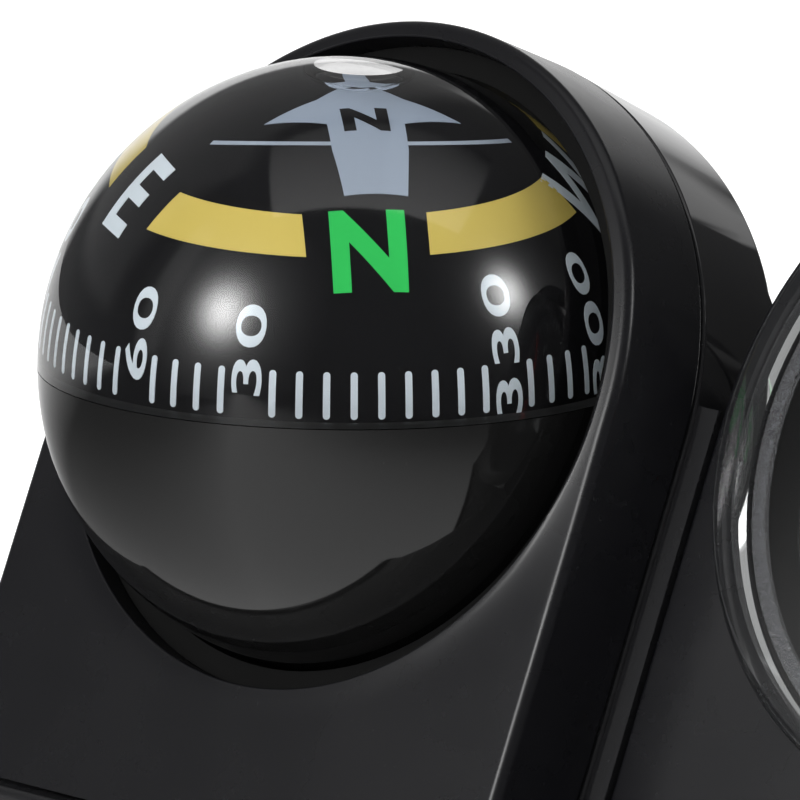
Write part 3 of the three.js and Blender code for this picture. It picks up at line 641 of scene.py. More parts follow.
def web():
    left = POD_RADIUS - REAR_WALL
    right = GAUGE_LEFT + REAR_WALL
    front = SEAM_PLANE - SEAT_GAP
    slab = block("web", (left, WEB_BOTTOM, GAUGE_SEAM_PLANE - 2 * REAR_WALL), (right, WEB_TOP, front))
    long = block("web_long", (left, WEB_BOTTOM, GAUGE_BACK_PLANE - OVERRUN), (right, WEB_TOP, front))
    for piece in (slab, long):
        for vert in piece.data.vertices:
            if vert.co.z > front - WEB_SLOPE and vert.co.x > POD_RADIUS:
                vert.co.z -= WEB_SLOPE
    return add(turned(slab, LEAN), keep(turned(long, LEAN), foot_prism(REAR_WALL)))


def sphere(name, radius):
    return lathe(name, arc(radius, -QUARTER, QUARTER, LATHE_STEPS // 2), closed=False)


def rear_shell():
    compass = (0, 0, POD_RADIUS, SEAM_PLANE, BACK_PLANE)
    gauge = (GAUGE_OFFSET, GAUGE_RISE, GAUGE_POD_RADIUS, GAUGE_SEAM_PLANE, GAUGE_BACK_PLANE)
    shell = add(rear_block(*compass, 0), rear_block(*gauge, 0))
    bulge = sphere("bulge", BALL_RADIUS + BULGE_CLEARANCE + REAR_WALL)
    cut(bulge, turned(layer(SEAM_PLANE - SEAT_GAP, 3 * OVERRUN), LEAN))
    add(shell, bulge)
    add(shell, web())
    cut(shell, rear_block(*compass, REAR_WALL))
    cut(shell, rear_block(*gauge, REAR_WALL))
    cut(shell, sphere("room", BALL_RADIUS + BULGE_CLEARANCE))
    room = plate("front_room", [gauge_arch(GAUGE_POD_RADIUS + SEAT_GAP)],
                 GAUGE_SEAM_PLANE - SEAT_GAP, OVERRUN)
    cut(shell, turned(room, LEAN))
    cut(shell, under_base())
    dress(shell, "rear_housing", UPRIGHT, GLOSS, ["rear_shell"])


def foot_of(plane):
    """Where a plane parallel to the face meets the base, in Y."""
    along = (BASE_DROP - plane * math.sin(FACE_LEAN)) / math.cos(FACE_LEAN)
    return along * math.sin(FACE_LEAN) - plane * math.cos(FACE_LEAN)


def base_outline(grow):
    """The stepped plan of the base, as a function of how far it is drawn in."""
    def outline(inset):
        reach = grow - inset
        corner = BASE_CORNER_RADIUS - inset
        hollow = BASE_CORNER_RADIUS + inset
        left, right = -POD_RADIUS - reach, GAUGE_RIGHT + reach
        step = POD_RADIUS + reach
        front, step_front = foot_of(FACE_AHEAD) - reach, foot_of(GAUGE_FACE) - reach
        back = REAR_DEPTH + reach
        return (
            arc(corner, -QUARTER, 0, CORNER_STEPS, (step - corner, front + corner))
            + arc(hollow, math.pi, QUARTER, CORNER_STEPS, (step + hollow, step_front - hollow))
            + arc(corner, -QUARTER, 0, CORNER_STEPS, (right - corner, step_front + corner))
            + arc(corner, 0, QUARTER, CORNER_STEPS, (right - corner, back - corner))
            + arc(corner, QUARTER, math.pi, CORNER_STEPS, (left + corner, back - corner))
            + arc(corner, math.pi, 3 * QUARTER, CORNER_STEPS, (left + corner, front + corner))
        )
    return outline


def base_plate():
    low = PAD_THICKNESS + SEAT_GAP - BALL_HEIGHT
    high = BASE_TOP - BALL_HEIGHT
    solid = plate("base", [base_outline(BASE_LIP)], low, high, BASE_EDGE_RADIUS, BASE_EDGE_RADIUS)
    dress(solid, "base_moulding", UPRIGHT, GLOSS, ["base_plate"])


# Ball

SPIGOT_DROP = 1.2
RIM = 0.03
BUBBLE_RADIUS = 2.75
BUBBLE_DRIFT = math.radians(2.1)
BUBBLE_BELLY = 3.3
BUBBLE_DEPTH = 1.65
BUBBLE_FILM = 0.08
BUBBLE_STEPS = 8
BELLY_STEPS = 20
# The cradle fills the socket up to this gap, so that no light comes in behind it
CRADLE_GAP = 0.02


def clear_dome():
    outer = arc(BALL_RADIUS, math.asin(RIM / BALL_RADIUS), QUARTER, BALL_STEPS)
    inner = arc(INNER_RADIUS, QUARTER, math.asin(2 * RIM / INNER_RADIUS), BALL_STEPS)
    spigot_outer = INNER_RADIUS - SEAT_GAP
    spigot_inner = spigot_outer - BALL_WALL
    spigot = [(spigot_inner, 0), (spigot_inner, -SPIGOT_DROP),
              (spigot_outer, -SPIGOT_DROP), (spigot_outer, RIM)]
    dome = lathe("dome", outer + inner + spigot)
    dress(dome, "dome", UPRIGHT, DOME_OUTER, ["clear_dome"])
    dome.data.materials.append(DOME_INNER)
    dome.data.materials.append(WELD)
    # The foot is dulled by the weld, and the inside is wetted by the liquid
    limit = (INNER_RADIUS + BALL_WALL / 2) * MM
    for polygon in dome.data.polygons:
        middle = Vector(polygon.center) - BALL_CENTRE
        if middle.z < 3 * RIM * MM:
            polygon.material_index = 2
        elif middle.length < limit:
            polygon.material_index = 1


def lower_bowl():
    outer = arc(BALL_RADIUS, -QUARTER, math.asin(-RIM / BALL_RADIUS), BALL_STEPS)
    inner = arc(INNER_RADIUS, math.asin(-RIM / INNER_RADIUS), -QUARTER, BALL_STEPS)
    bowl = lathe("bowl", outer + inner, closed=False)
    dress(bowl, "bowl", UPRIGHT, BOWL, ["lower_bowl"])


def air_bubble():
    """The air under the dome's crown: flattened against it, a drop's round belly below."""
    top = INNER_RADIUS - BUBBLE_FILM
    half = math.asin(BUBBLE_RADIUS / top)
    turns = [half * k / BUBBLE_STEPS for k in range(BUBBLE_STEPS + 1)]
    upper = [(top * math.sin(turn), top * math.cos(turn)) for turn in turns]
    start = math.acos(BUBBLE_RADIUS / BUBBLE_BELLY)
    middle = upper[-1][1] - BUBBLE_DEPTH * math.sin(start)
    lower = []
    for k in range(1, BELLY_STEPS):
        angle = start - (start + QUARTER) * k / BELLY_STEPS
        lower.append((BUBBLE_BELLY * math.cos(angle), middle + BUBBLE_DEPTH * math.sin(angle)))
    lower.append((0, middle - BUBBLE_DEPTH))
    bubble = lathe("bubble", upper + lower, closed=False)
    sideways = Matrix.Rotation(CAMERA_AZIMUTH + QUARTER, 3, "Z") @ Vector((1, 0, 0))
    turned(bubble, Matrix.Rotation(BUBBLE_DRIFT, 4, sideways))
    dress(bubble, "air_bubble", UPRIGHT, BUBBLE)


def cradle():
    inner = BALL_RADIUS + SEAT_GAP
    outer = SOCKET_RADIUS - CRADLE_GAP
    back = BACK_PLANE + REAR_WALL + SEAT_GAP
    outside = arc(outer, math.asin(back / outer), math.asin(CRADLE_FRONT / outer), CRADLE_STEPS)
    inside = arc(inner, math.asin(CRADLE_FRONT / inner), math.asin(back / inner), CRADLE_STEPS)
    ring = lathe("cradle", outside + inside)
    dress(ring, "cradle_ring", LEANING, MATT, ["capsule_cradle"])


# Compass card and its print

NORTH = math.radians(-40.3)
INK = 0.04
TICK_STEP = 6
LABEL_STEP = 30
TICK_WIDTH = 0.42
TICK_LOW, TICK_HIGH = math.radians(-0.5), math.radians(9.9)
NUMBER_SIZE = 2.6
NUMBER_STRETCH = 2.1
NUMBER_BOLD = 0.03
NUMBER_SPACING = 1.08
NUMBER_MIDDLE = math.radians(13.9)
LETTER_SIZE = 6.9
LETTER_BOLD = 0.15
NORTH_STRETCH = 0.9
NORTH_BOLD = 0.28
NORTH_SHIFT = 1.7
EAST_HEADING = 88
EAST_RISE = math.radians(3)
LETTER_MIDDLE = math.radians(37.2)
BAND_LOW, BAND_HIGH = math.radians(35.2), math.radians(45.4)
BAND_GAPS = (4.0, 4.0, 4.0, 3.2)
BAND_COLUMNS, BAND_ROWS = 24, 5
BAND_FACET = 2.0
FACET = 0.7
REFINE_ROUNDS = 5
LETTER_STEPS = 5
CAP_STEPS = 8


def flat_text(text, size, bold=0.0, spacing=1.0, stretch=1.0):
    """Filled letters as a flat mesh about their middle."""
    curve = bpy.data.curves.new("text", "FONT")
    curve.body = text
    curve.size = size
    curve.offset = bold
    curve.space_character = spacing
    curve.align_x = "CENTER"
    curve.align_y = "CENTER"
    curve.fill_mode = "FRONT"
    curve.resolution_u = LETTER_STEPS
    holder = in_scene("text", curve)
    mesh = evaluated_mesh(holder)
    bpy.data.objects.remove(holder)
    bpy.data.curves.remove(curve)
    bm = bmesh.new()
    bm.from_mesh(mesh)
    bpy.data.meshes.remove(mesh)
    bmesh.ops.remove_doubles(bm, verts=bm.verts, dist=MERGE)
    xs = [vert.co.x for vert in bm.verts]
    ys = [vert.co.y for vert in bm.verts]
    middle = Vector(((min(xs) + max(xs)) / 2, (min(ys) + max(ys)) / 2, 0))
    bmesh.ops.translate(bm, verts=bm.verts, vec=-middle)
    bmesh.ops.scale(bm, verts=bm.verts, vec=(stretch, 1, 1))
    return bm


def flat_shape(points):
    bm = bmesh.new()
    verts = [bm.verts.new((x, y, 0)) for x, y in points]
    edges = [bm.edges.new((verts[i], verts[(i + 1) % len(verts)])) for i in range(len(verts))]
    bmesh.ops.triangle_fill(bm, edges=edges, use_beauty=True)
    return bm


def thicken(bm, place, facet=FACET):
    """Refines a flat mesh, then lays it on a surface as thin ink with a closed edge."""
    for _ in range(REFINE_ROUNDS):
        bmesh.ops.triangulate(bm, faces=bm.faces)
        long = [edge for edge in bm.edges if edge.calc_length() > facet]
        if not long:
            break
        bmesh.ops.subdivide_edges(bm, edges=long, cuts=1)
    bmesh.ops.triangulate(bm, faces=bm.faces)
    bm.verts.index_update()
    top = [place(vert.co.x, vert.co.y, INK) for vert in bm.verts]
    low = [place(vert.co.x, vert.co.y, -INK) for vert in bm.verts]
    faces = list({frozenset(corners): corners for corners in
                  ([vert.index for vert in face.verts] for face in bm.faces)}.values())
    uses = {}
    for corners in faces:
        for a, b in zip(corners, corners[1:] + corners[:1]):
            uses.setdefault(frozenset((a, b)), []).append((a, b))
    rim = [pairs[0] for pairs in uses.values() if len(pairs) == 1]
    bm.free()
    return top, low, faces, rim


def printed(name, layers, matrix, body, material):
    """One piece of ink from several laid shapes."""
    bm = bmesh.new()
    for top, low, faces, rim in layers:
        upper = [bm.verts.new(co) for co in top]
        lower = [bm.verts.new(co) for co in low]
        for face in faces:
            bm.faces.new([upper[k] for k in face])
            bm.faces.new([lower[k] for k in reversed(face)])
        for a, b in rim:
            bm.faces.new((upper[b], upper[a], lower[a], lower[b]))
    obj = link(name, bm)
    dress(obj, name, matrix, material, body=body)


def card_print(name, layers, material):
    printed(name, layers, UPRIGHT, "card", material)


def on_card(longitude, latitude, turn=0.0):
    """A place on the card's dome: east is X and up is Y before the turn."""
    basis = Matrix.Rotation(longitude, 3, "Z") @ Matrix.Rotation(-latitude, 3, "Y")
    spin = Matrix.Rotation(turn, 2)

    def place(x, y, height):
        east, north = spin @ Vector((x, y))
        reach = math.hypot(east, north)
        angle = reach / CARD_RADIUS
        share = math.sin(angle) / reach if reach else 0.0
        direction = Vector((math.cos(angle), east * share, north * share))
        return basis @ direction * (CARD_RADIUS + height)
    return place


def on_crown(lift=0):
    """A place on the card's crown, seen from above: Y points at the north mark."""
    shift = Matrix.Rotation(-CROWN_SHIFT, 3, around_camera(0, 0))
    toward = shift @ Matrix.Rotation(NORTH - QUARTER, 3, "Z")

    def place(x, y, height):
        reach = math.hypot(x, y)
        level = math.sqrt(max(CARD_RADIUS ** 2 - reach ** 2, 0))
        direction = toward @ Vector((x, y, level))
        return direction.normalized() * (CARD_RADIUS + height + lift)
    return place


def heading(degrees):
    """Headings grow to the left of the north mark, as on a card read from its side."""
    return NORTH - math.radians(degrees)


def capsule_points(width, low, high):
    half = width / 2
    return (arc(half, 0, math.pi, CAP_STEPS, (0, high - half))
            + arc(half, math.pi, TURN, CAP_STEPS, (0, low + half)))


def compass_card():
    inner = CARD_RADIUS - CARD_WALL
    outside = arc(CARD_RADIUS, -math.asin(CARD_SKIRT / CARD_RADIUS), QUARTER, BALL_STEPS)
    inside = arc(inner, QUARTER, -math.asin(CARD_SKIRT / inner), BALL_STEPS)
    card = lathe("card", outside + inside)
    dress(card, "card_dome", UPRIGHT, CARD, ["compass_card"], "card")

    ticks = []
    for degrees in range(0, 360, TICK_STEP):
        if degrees % LABEL_STEP == 0 and degrees % 90:
            continue
        shape = flat_shape(capsule_points(TICK_WIDTH, TICK_LOW * CARD_RADIUS, TICK_HIGH * CARD_RADIUS))
        ticks.append(thicken(shape, on_card(heading(degrees), 0)))
    card_print("card_ticks", ticks, INK_WHITE)

    numbers = []
    for degrees in range(0, 360, LABEL_STEP):
        if degrees % 90 == 0:
            continue
        text = flat_text(str(degrees), NUMBER_SIZE, NUMBER_BOLD, NUMBER_SPACING, NUMBER_STRETCH)
        numbers.append(thicken(text, on_card(heading(degrees), NUMBER_MIDDLE, QUARTER)))
    card_print("card_numbers", numbers, INK_WHITE)

    letters = [
        thicken(flat_text(letter, LETTER_SIZE, LETTER_BOLD), on_card(heading(degrees), LETTER_MIDDLE + rise))
        for letter, degrees, rise in (("E", EAST_HEADING, EAST_RISE), ("S", 180, 0), ("W", 270, 0))
    ]
    card_print("card_letters", letters, INK_WHITE)
    north = thicken(flat_text("N", LETTER_SIZE, NORTH_BOLD, stretch=NORTH_STRETCH),
                    on_card(heading(NORTH_SHIFT), LETTER_MIDDLE))
    card_print("card_north", [north], INK_GREEN)
    card_bands()
    card_arrow()


def card_bands():
    """Four bands between the letters, their ends cut square to leave the letters room."""
    bands = []
    for quarter, gap in enumerate(BAND_GAPS):
        def place(x, y, height, quarter=quarter, gap=gap):
            latitude = BAND_LOW + (BAND_HIGH - BAND_LOW) * y
            cut_angle = math.asin(gap / (CARD_RADIUS * math.cos(latitude)))
            span = QUARTER - 2 * cut_angle
            longitude = heading(90 * quarter) - cut_angle - span * x
            level = math.cos(latitude)
            toward = Vector((level * math.cos(longitude), level * math.sin(longitude), math.sin(latitude)))
            return toward * (CARD_RADIUS + height)
        bm = bmesh.new()
        bmesh.ops.create_grid(bm, x_segments=BAND_COLUMNS, y_segments=BAND_ROWS, size=0.5)
        bmesh.ops.translate(bm, verts=bm.verts, vec=(0.5, 0.5, 0))
        bands.append(thicken(bm, place, BAND_FACET))
    card_print("card_bands", bands, INK_YELLOW)


# Half of the arrow's outline: out from its middle line, and from the crown toward the north mark
TAIL = (1.85, 9.6)
WAIST = (2.2, 6.45)
WING_ROOT = (2.2, 4.1)
WING_TIP = (5.5, 2.5)
WING_SHOULDER = (2.4, 1.25)
NECK = (1.0, 0)
NECK_END = (1.0, -3.4)
CROSS_HALF_ANGLE = math.radians(57)
CROSS_RADIUS = 9.85
CROSS_WIDTH = 0.28
CROSS_APEX = 6.15
CROSS_STEPS = 32
CROWN_SHIFT = math.radians(1.8)
CROWN_LETTER = 2.95
CROWN_STRETCH = 1.22


def card_arrow():
    """The arrow on the crown, a bowed line across it and its small letter."""
    half = [TAIL, WAIST, WING_ROOT, WING_TIP, WING_SHOULDER, NECK, NECK_END]
    outline = half + [(-x, y) for x, y in reversed(half)]
    centre = (0, CROSS_APEX - CROSS_RADIUS)
    ends = (QUARTER - CROSS_HALF_ANGLE, QUARTER + CROSS_HALF_ANGLE)
    outer = arc(CROSS_RADIUS + CROSS_WIDTH / 2, *ends, CROSS_STEPS, centre)
    inner = arc(CROSS_RADIUS - CROSS_WIDTH / 2, *reversed(ends), CROSS_STEPS, centre)
    arrow = thicken(flat_shape(outline), on_crown())
    line = thicken(flat_shape(outer + inner), on_crown(-INK / 4))
    card_print("card_arrow", [arrow], INK_BLUE)
    card_print("card_line", [line], INK_LINE)
    crown = flat_text("N", CROWN_LETTER, LETTER_BOLD, stretch=CROWN_STRETCH)
    middle = (WAIST[1] + WING_SHOULDER[1]) / 2

    def place(x, y, height):
        return on_crown(INK / 2)(-x, middle - y, height)
    letter = thicken(crown, place)
    card_print("crown_letter", [letter], CARD)


# Thermometer

LENS_STEPS = 12
RING_ROWS, RING_TEETH = 3, 180
# The sparkling ring's heights as shares of its own, and how far its facets stand out
RING_CREST_SHARE, RING_DIP_SHARE, RING_SIDE_SHARE = 0.6, 0.35, 0.3
FACET_RISE, FACET_SCATTER, FACET_STRIDE = 0.12, 0.05, 2.4
DIAL_TICK_OUT = 17.4
DIAL_NUMBER_OUT = 11.0
DIAL_UNIT_OUT = 8.2
DIAL_SPAN = math.radians(240)
DIAL_LOW_VALUE, DIAL_HIGH_VALUE = -20, 50
DIAL_STEP, DIAL_LABEL_STEP = 2, 10
# Width and length of the long and the short marks
LONG_MARK, SHORT_MARK = (0.5, 2.2), (0.3, 1.2)
DIAL_NUMBER_SIZE, DIAL_UNIT_SIZE = 3.0, 3.6
DIAL_BOLD = 0.05
DIAL_FACET = 3.0


def gauge_lens():
    foot = GAUGE_FACE + SEAT_GAP
    wall_inner = LENS_RADIUS - LENS_WALL

    def crown(radius):
        return LENS_CROWN * (1 - (radius / LENS_RADIUS) ** 2)

    def surface(radius, height):
        reaches = [radius * k / LENS_STEPS for k in range(LENS_STEPS + 1)]
        return [(reach, height + crown(reach)) for reach in reaches]
    shoulder = LENS_RADIUS - LENS_SHOULDER
    outside = surface(shoulder, LENS_FRONT)[:-1]
    corner_height = LENS_FRONT + crown(shoulder) - LENS_SHOULDER
    outside += [(shoulder + dx, corner_height + dz) for dx, dz in
                reversed(arc(LENS_SHOULDER, 0, QUARTER, EDGE_STEPS))]
    inside = surface(wall_inner, LENS_FRONT - LENS_THICKNESS)[::-1]
    lens = lathe("lens", outside + [(LENS_RADIUS, foot), (wall_inner, foot)] + inside, closed=False)
    dress(lens, "lens_cap", GAUGE, LENS, ["gauge_lens"])


def trim_ring():
    """A band of small facets that sparkle."""
    low = CUP_RIM + SEAT_GAP
    outer = CUP_RADIUS - SEAT_GAP
    bm = bmesh.new()

    def ring(radius, height):
        return ring_of_verts(bm, radius, height, RING_TEETH)
    rings = [ring(RING_INNER_RADIUS, low), ring(outer, low)]
    for row in range(RING_ROWS + 1):
        radius = outer + (RING_INNER_RADIUS - outer) * row / RING_ROWS
        rings.append(ring(radius, low + RING_HEIGHT * (RING_CREST_SHARE if row % 2 else RING_DIP_SHARE)))
    skin(bm, rings + rings[:1])
    side_top = low + RING_HEIGHT * RING_SIDE_SHARE
    tops = [face for face in bm.faces if face.calc_center_median().z > side_top]
    for k, vert in enumerate(bmesh.ops.poke(bm, faces=tops)["verts"]):
        vert.co.z += FACET_RISE + FACET_SCATTER * math.sin(k * FACET_STRIDE)
    obj = link("ring", bm)
    dress(obj, "sparkling_ring", GAUGE, SPARKLE, ["trim_ring"])
    obj.modifiers.clear()
    for polygon in obj.data.polygons:
        polygon.use_smooth = False


def on_dial(radius, angle, turn=0.0):
    """A place on the dial, the angle clockwise from the top."""
    x0, y0 = radius * math.sin(angle), radius * math.cos(angle)
    spin = Matrix.Rotation(turn, 2)

    def place(x, y, height):
        px, py = spin @ Vector((x, y))
        return Vector((x0 + px, y0 + py, DIAL_FRONT + height))
    return place


def gauge_cup():
    inner = CUP_RADIUS - CUP_WALL
    ledge = DIAL_FRONT - DIAL_THICKNESS - SEAT_GAP
    floor = CUP_BACK + CUP_FLOOR
    cup = lathe("cup", [
        (0, CUP_BACK), (CUP_RADIUS, CUP_BACK), (CUP_RADIUS, CUP_RIM), (inner, CUP_RIM),
        (inner, ledge), (inner - DIAL_LEDGE, ledge), (inner - DIAL_LEDGE, floor), (0, floor),
    ], closed=False)
    dress(cup, "gauge_well", GAUGE, MATT, ["gauge_cup"])


def dial_print():
    marks, numbers = [], []
    span = DIAL_HIGH_VALUE - DIAL_LOW_VALUE
    for value in range(DIAL_LOW_VALUE, DIAL_HIGH_VALUE + 1, DIAL_STEP):
        angle = DIAL_SPAN * ((value - DIAL_LOW_VALUE) / span - 0.5)
        labelled = value % DIAL_LABEL_STEP == 0
        width, length = LONG_MARK if labelled else SHORT_MARK
        shape = flat_shape(capsule_points(width, -length, 0))
        marks.append(thicken(shape, on_dial(DIAL_TICK_OUT, angle, -angle), DIAL_FACET))
        if labelled:
            text = flat_text(str(value), DIAL_NUMBER_SIZE, DIAL_BOLD)
            numbers.append(thicken(text, on_dial(DIAL_NUMBER_OUT, angle), DIAL_FACET))
    unit = thicken(flat_text("°C", DIAL_UNIT_SIZE, DIAL_BOLD), on_dial(DIAL_UNIT_OUT, math.pi), DIAL_FACET)
    printed("dial_marks", marks, GAUGE, "root", DIAL_INK)
    printed("dial_numbers", numbers + [unit], GAUGE, "root", DIAL_INK)


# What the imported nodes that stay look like
BASE_SCREWS = [f"base_screw_{k}" for k in range(1, 7)]
DIAL_SCREWS = ["dial_screw_1", "dial_screw_2"]
NODE_MATERIALS = [
    (FOAM, ["adhesive_pad"]),
    (RUBBER, ["fill_plug"]),
    (MATT, ["pivot_post", "pointer_cap"]),
    (STEEL, ["pivot_needle", "pointer_arbor", "coil_anchor", *DIAL_SCREWS, *BASE_SCREWS]),
    (RUBY, ["jewel"]),
    (BRASS, ["jewel_holder", "dial_bush", "rear_bush"]),
    (WHITE, ["card_float"]),
    (FERRITE, ["card_magnet"]),
    (DIAL_BLACK, ["dial_plate"]),
    (BIMETAL, ["bimetal_coil"]),
    (PAINT_RED, ["pointer"]),
]


def dress_nodes():
    for material, names in NODE_MATERIALS:
        for name in names:
            materials = bpy.data.objects[name].data.materials
            materials.clear()
            materials.append(material)


# Studio

FLOOR_SIZE = 3.0
FLOOR_TONES = (0.85, 0.87)
FLOOR_NOISE = 40.0
FLOOR_GLOW = 0.6
# The floor's painted light in gloss surfaces: how dim it is near the ball
FLOOR_DIM = 0.08
# Where the floor behind the ball turns white in a gloss surface, as painted light
BACK_FLOOR = (0.05, 0.15)
# Lamps: azimuth from the camera's side and elevation in degrees, distance in metres, then the
# core and the halo round it, each as its half angle in degrees and its strength
LAMPS = {
    "key": (-50, 25, 0.45, (8.0, 19.0), (18.0, 2.0)),
    "fill": (69, 27, 0.45, (6.5, 16.0), (14.0, 1.2)),
}
GLOW_REACH = 2.1
# A broad glow that only dull surfaces get: azimuth, elevation and half angle in degrees, and strength
SKY_GLOW = (-35, 34, 35.0, 2.5)
# Keeps the level direction from vanishing overhead
LEVEL_FLOOR = 0.0001
ROOM_LEVEL = 0.08
# Each lit area of the room has a strength and its edges, as pairs from where it is dark to where
# it is full. Front and right are shares of the level direction, heights are degrees.
BACK_LEVEL = 0.15
BACK_FRONT, BACK_RIGHT = (-0.15, -0.35), (0.4, 0.2)
BACK_FOOT, BACK_HEAD = (6, 12), (66, 58)
LOW_BACK_LEVEL = 1.1
LOW_BACK_FRONT, LOW_BACK_HEAD = (-0.88, -0.97), (17, 12)
PANEL_LEVEL = 0.34
PANEL_FRONT, PANEL_BACK, PANEL_RIGHT = (0.3, 0.2), (0.02, 0.11), (-0.5, -0.7)
PANEL_FOOT, PANEL_HEAD = (2, 8), (50, 42)
COVE_LEVEL = 0.65
COVE_FRONT, COVE_RIGHT = (-0.755, -0.775), (0.2, 0.35)
COVE_FOOT, COVE_HEAD = (11, 13), (28, 24)
# The cove's front edge sways with the height
COVE_SWAY, COVE_SWAYS = 0.02, 0.7
# The softbox lies in a plane overhead, where places are shares of its height, with two edges askew
SOFTBOX_LEVEL = 0.68
SOFTBOX_FALL = 1.3
SOFTBOX_FRONT, SOFTBOX_BACK = (0.36, 0.32), (-0.42, -0.36)
SOFTBOX_LEFT, SOFTBOX_RIGHT = (-0.43, -0.39), (0.8, 0.75)
SOFTBOX_LEFT_SKEW, SOFTBOX_BACK_SKEW = 0.16, 0.27
SOFTBOX_HORIZON = 0.05
# What clear pieces show straight behind them is the white background
BEHIND = (-0.7, -0.88)
# Strength of the painted lane of light that the floor shows only in gloss surfaces
PAINTED_LANE_LEVEL = 0.95
# How far the painted lane of light on the floor spreads to either side, in metres
LANE_LEFT, LANE_RIGHT = 0.031, 0.09
LANE_AZIMUTH = math.radians(-40)


def around_camera(azimuth, elevation):
    """A direction from its azimuth, counted from the camera's side, and its elevation."""
    turn = CAMERA_AZIMUTH + azimuth
    level = math.cos(elevation)
    return Vector((level * math.sin(turn), -level * math.cos(turn), math.sin(elevation)))


def soft_lamp(name, azimuth, elevation, distance, *rings):
    """A round lamp whose light falls off softly from its middle, seen from the ball."""
    radius = distance * math.tan(math.radians(GLOW_REACH * max(half_angle for half_angle, _ in rings)))
    data = bpy.data.lights.new(name, "AREA")
    data.shape = "DISK"
    data.size = 2 * radius
    data.energy = math.pi * math.pi * radius ** 2
    lamp = in_scene(name, data)
    away = around_camera(math.radians(azimuth), math.radians(elevation))
    lamp.location = BALL_CENTRE + away * distance
    lamp.rotation_euler = away.to_track_quat("Z", "Y").to_euler()
    data.use_nodes = True
    nodes = Nodes(data.node_tree)
    place = nodes.new("ShaderNodeNewGeometry").outputs["Position"]
    reach = nodes.vectors("DISTANCE", place, lamp.location)
    angle = nodes.maths("ARCTANGENT", nodes.maths("DIVIDE", reach, distance))
    total = 0.0
    for half_angle, strength in rings:
        share = nodes.maths("DIVIDE", angle, math.radians(half_angle))
        fall = nodes.maths("EXPONENT", nodes.times(share, share, -1.0))
        total = nodes.maths("ADD", total, nodes.times(fall, strength))
    glow = nodes.new("ShaderNodeEmission", {"Strength": total})
    nodes.new("ShaderNodeOutputLight", {"Surface": glow.outputs[0]})
    return lamp


def make_world():
    """A dim room: a softbox above, a panel at the left, a cove at the right and a pale back.

    The camera sees plain white, and dull surfaces get a broad glow as well.
    """
    world = bpy.data.worlds.new("studio")
    bpy.context.scene.world = world
    world.use_nodes = True
    nodes = Nodes(world.node_tree)
    ray = nodes.new("ShaderNodeTexCoord").outputs["Generated"]
    maths, times, ramp = nodes.maths, nodes.times, nodes.ramp

    def along(azimuth, elevation=0.0):
        return nodes.vectors("DOT_PRODUCT", ray, around_camera(azimuth, elevation))

    def plus(total, *values):
        return maths("ADD", total, times(*values))

    above = nodes.vectors("DOT_PRODUCT", ray, (0, 0, 1))
    ahead, aside = along(0), along(QUARTER)
    height = times(maths("ARCSINE", above), 180 / math.pi)
    level = maths("SQRT", maths("SUBTRACT", 1 + LEVEL_FLOOR, times(above, above)))
    front, right = maths("DIVIDE", ahead, level), maths("DIVIDE", aside, level)
    room = plus(ROOM_LEVEL, ramp(front, *BACK_FRONT), ramp(right, *BACK_RIGHT),
                ramp(height, *BACK_FOOT), ramp(height, *BACK_HEAD), BACK_LEVEL)
    room = plus(room, ramp(front, *LOW_BACK_FRONT), ramp(height, *LOW_BACK_HEAD), LOW_BACK_LEVEL)
    room = plus(room, ramp(front, *PANEL_FRONT), ramp(front, *PANEL_BACK), ramp(right, *PANEL_RIGHT),
                ramp(height, *PANEL_FOOT), ramp(height, *PANEL_HEAD), PANEL_LEVEL)
    sway = maths("SINE", times(height, COVE_SWAYS))
    room = plus(room, ramp(maths("MULTIPLY_ADD", sway, COVE_SWAY, front), *COVE_FRONT),
                ramp(right, *COVE_RIGHT), ramp(height, *COVE_FOOT), ramp(height, *COVE_HEAD), COVE_LEVEL)

    over = maths("MAXIMUM", above, SOFTBOX_HORIZON)
    over_front, over_right = maths("DIVIDE", ahead, over), maths("DIVIDE", aside, over)
    room = plus(room, ramp(over_front, *SOFTBOX_FRONT), ramp(over_right, *SOFTBOX_RIGHT),
                ramp(maths("MULTIPLY_ADD", over_front, SOFTBOX_LEFT_SKEW, over_right), *SOFTBOX_LEFT),
                ramp(maths("MULTIPLY_ADD", over_right, SOFTBOX_BACK_SKEW, over_front), *SOFTBOX_BACK),
                maths("MULTIPLY_ADD", over_front, SOFTBOX_FALL, SOFTBOX_LEVEL))

    azimuth, elevation, spread, strength = SKY_GLOW
    aim = along(math.radians(azimuth), math.radians(elevation))
    off = times(maths("SUBTRACT", aim, 1.0), 2 / math.radians(spread) ** 2)
    path = nodes.new("ShaderNodeLightPath").outputs
    camera, glossy, through = (path[f"Is {kind} Ray"] for kind in ("Camera", "Glossy", "Transmission"))
    bent = times(maths("MAXIMUM", glossy, through), maths("LESS_THAN", path["Diffuse Depth"], 0.5))
    dull = maths("SUBTRACT", 1.0, maths("MAXIMUM", camera, bent))
    sky = times(dull, maths("EXPONENT", off), strength)
    white = maths("MAXIMUM", camera, times(through, ramp(along(0, CAMERA_ELEVATION), *BEHIND)))
    rest = times(maths("SUBTRACT", 1.0, white), maths("ADD", room, sky))
    total = maths("ADD", white, rest)
    background = nodes.new("ShaderNodeBackground", {"Color": (1, 1, 1, 1), "Strength": total})
    nodes.new("ShaderNodeOutputWorld", {"Surface": background.outputs[0]})


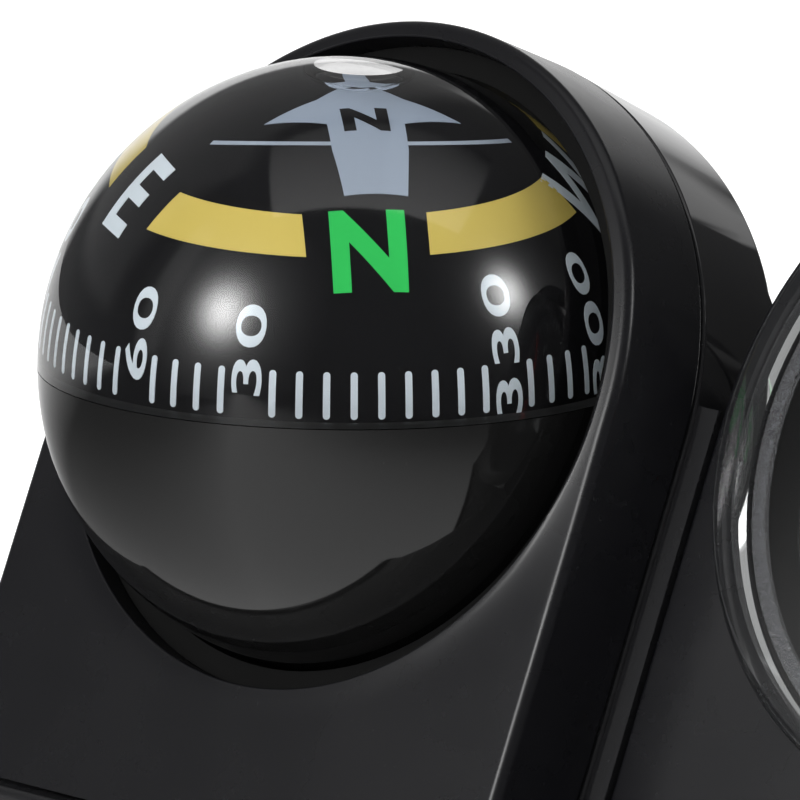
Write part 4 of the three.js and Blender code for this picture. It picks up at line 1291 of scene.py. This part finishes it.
def make_floor():
    """A pale floor, white to the camera; in a gloss surface it shows painted light instead: a glowing lane
    and a white far part, dim near the ball.
    """
    bm = bmesh.new()
    bmesh.ops.create_grid(bm, x_segments=1, y_segments=1, size=FLOOR_SIZE / 2)
    floor = link("floor", bm)
    material, nodes = blank("floor_pale")
    maths, times = nodes.maths, nodes.times
    tone = nodes.mapped(nodes.noise(FLOOR_NOISE), (0, 1), FLOOR_TONES)
    colour = nodes.new("ShaderNodeCombineColor", {"Red": tone, "Green": tone, "Blue": tone}).outputs[0]
    plain = nodes.new("ShaderNodeBsdfDiffuse", {"Color": colour})
    path = nodes.new("ShaderNodeLightPath").outputs
    seen = maths("MAXIMUM", path["Is Camera Ray"], path["Is Transmission Ray"])
    glow = nodes.new("ShaderNodeEmission", {"Strength": times(seen, FLOOR_GLOW)})
    lit = nodes.new("ShaderNodeAddShader", {0: plain.outputs[0], 1: glow.outputs[0]})

    # Painted light: in gloss surfaces the floor glows instead of being lit, with a bright lane from the
    # ball's foot and the far part white
    foot = (BALL_CENTRE.x, BALL_CENTRE.y, 0)
    from_ball = nodes.vectors("SUBTRACT", nodes.place(), foot, "Vector")
    off = nodes.vectors("DOT_PRODUCT", from_ball, around_camera(LANE_AZIMUTH + QUARTER, 0))
    left = maths("EXPONENT", maths("DIVIDE", maths("MINIMUM", off, 0.0), LANE_LEFT))
    right = maths("DIVIDE", maths("MAXIMUM", off, 0.0), LANE_RIGHT)
    painted_lane_glow = times(left, maths("EXPONENT", times(right, right, -1.0)), PAINTED_LANE_LEVEL)
    away = nodes.vectors("DOT_PRODUCT", from_ball, -around_camera(0, 0))
    far = nodes.mapped(away, BACK_FLOOR, (FLOOR_DIM, 1))
    painted_reflection = nodes.new("ShaderNodeEmission", {"Strength": maths("ADD", painted_lane_glow, far)})
    surface = nodes.new("ShaderNodeMixShader", {
        0: path["Is Glossy Ray"], 1: lit.outputs[0], 2: painted_reflection.outputs[0]})
    nodes.surface(surface)
    floor.data.materials.append(material)


def make_studio():
    make_world()
    make_floor()
    for name, lamp in LAMPS.items():
        soft_lamp(name, *lamp).visible_transmission = False
    bpy.context.scene.view_settings.view_transform = "Standard"


make_camera()
compass_front()
gauge_front()
rear_shell()
base_plate()
clear_dome()
lower_bowl()
air_bubble()
cradle()
compass_card()
gauge_lens()
trim_ring()
gauge_cup()
dial_print()
dress_nodes()
make_studio()
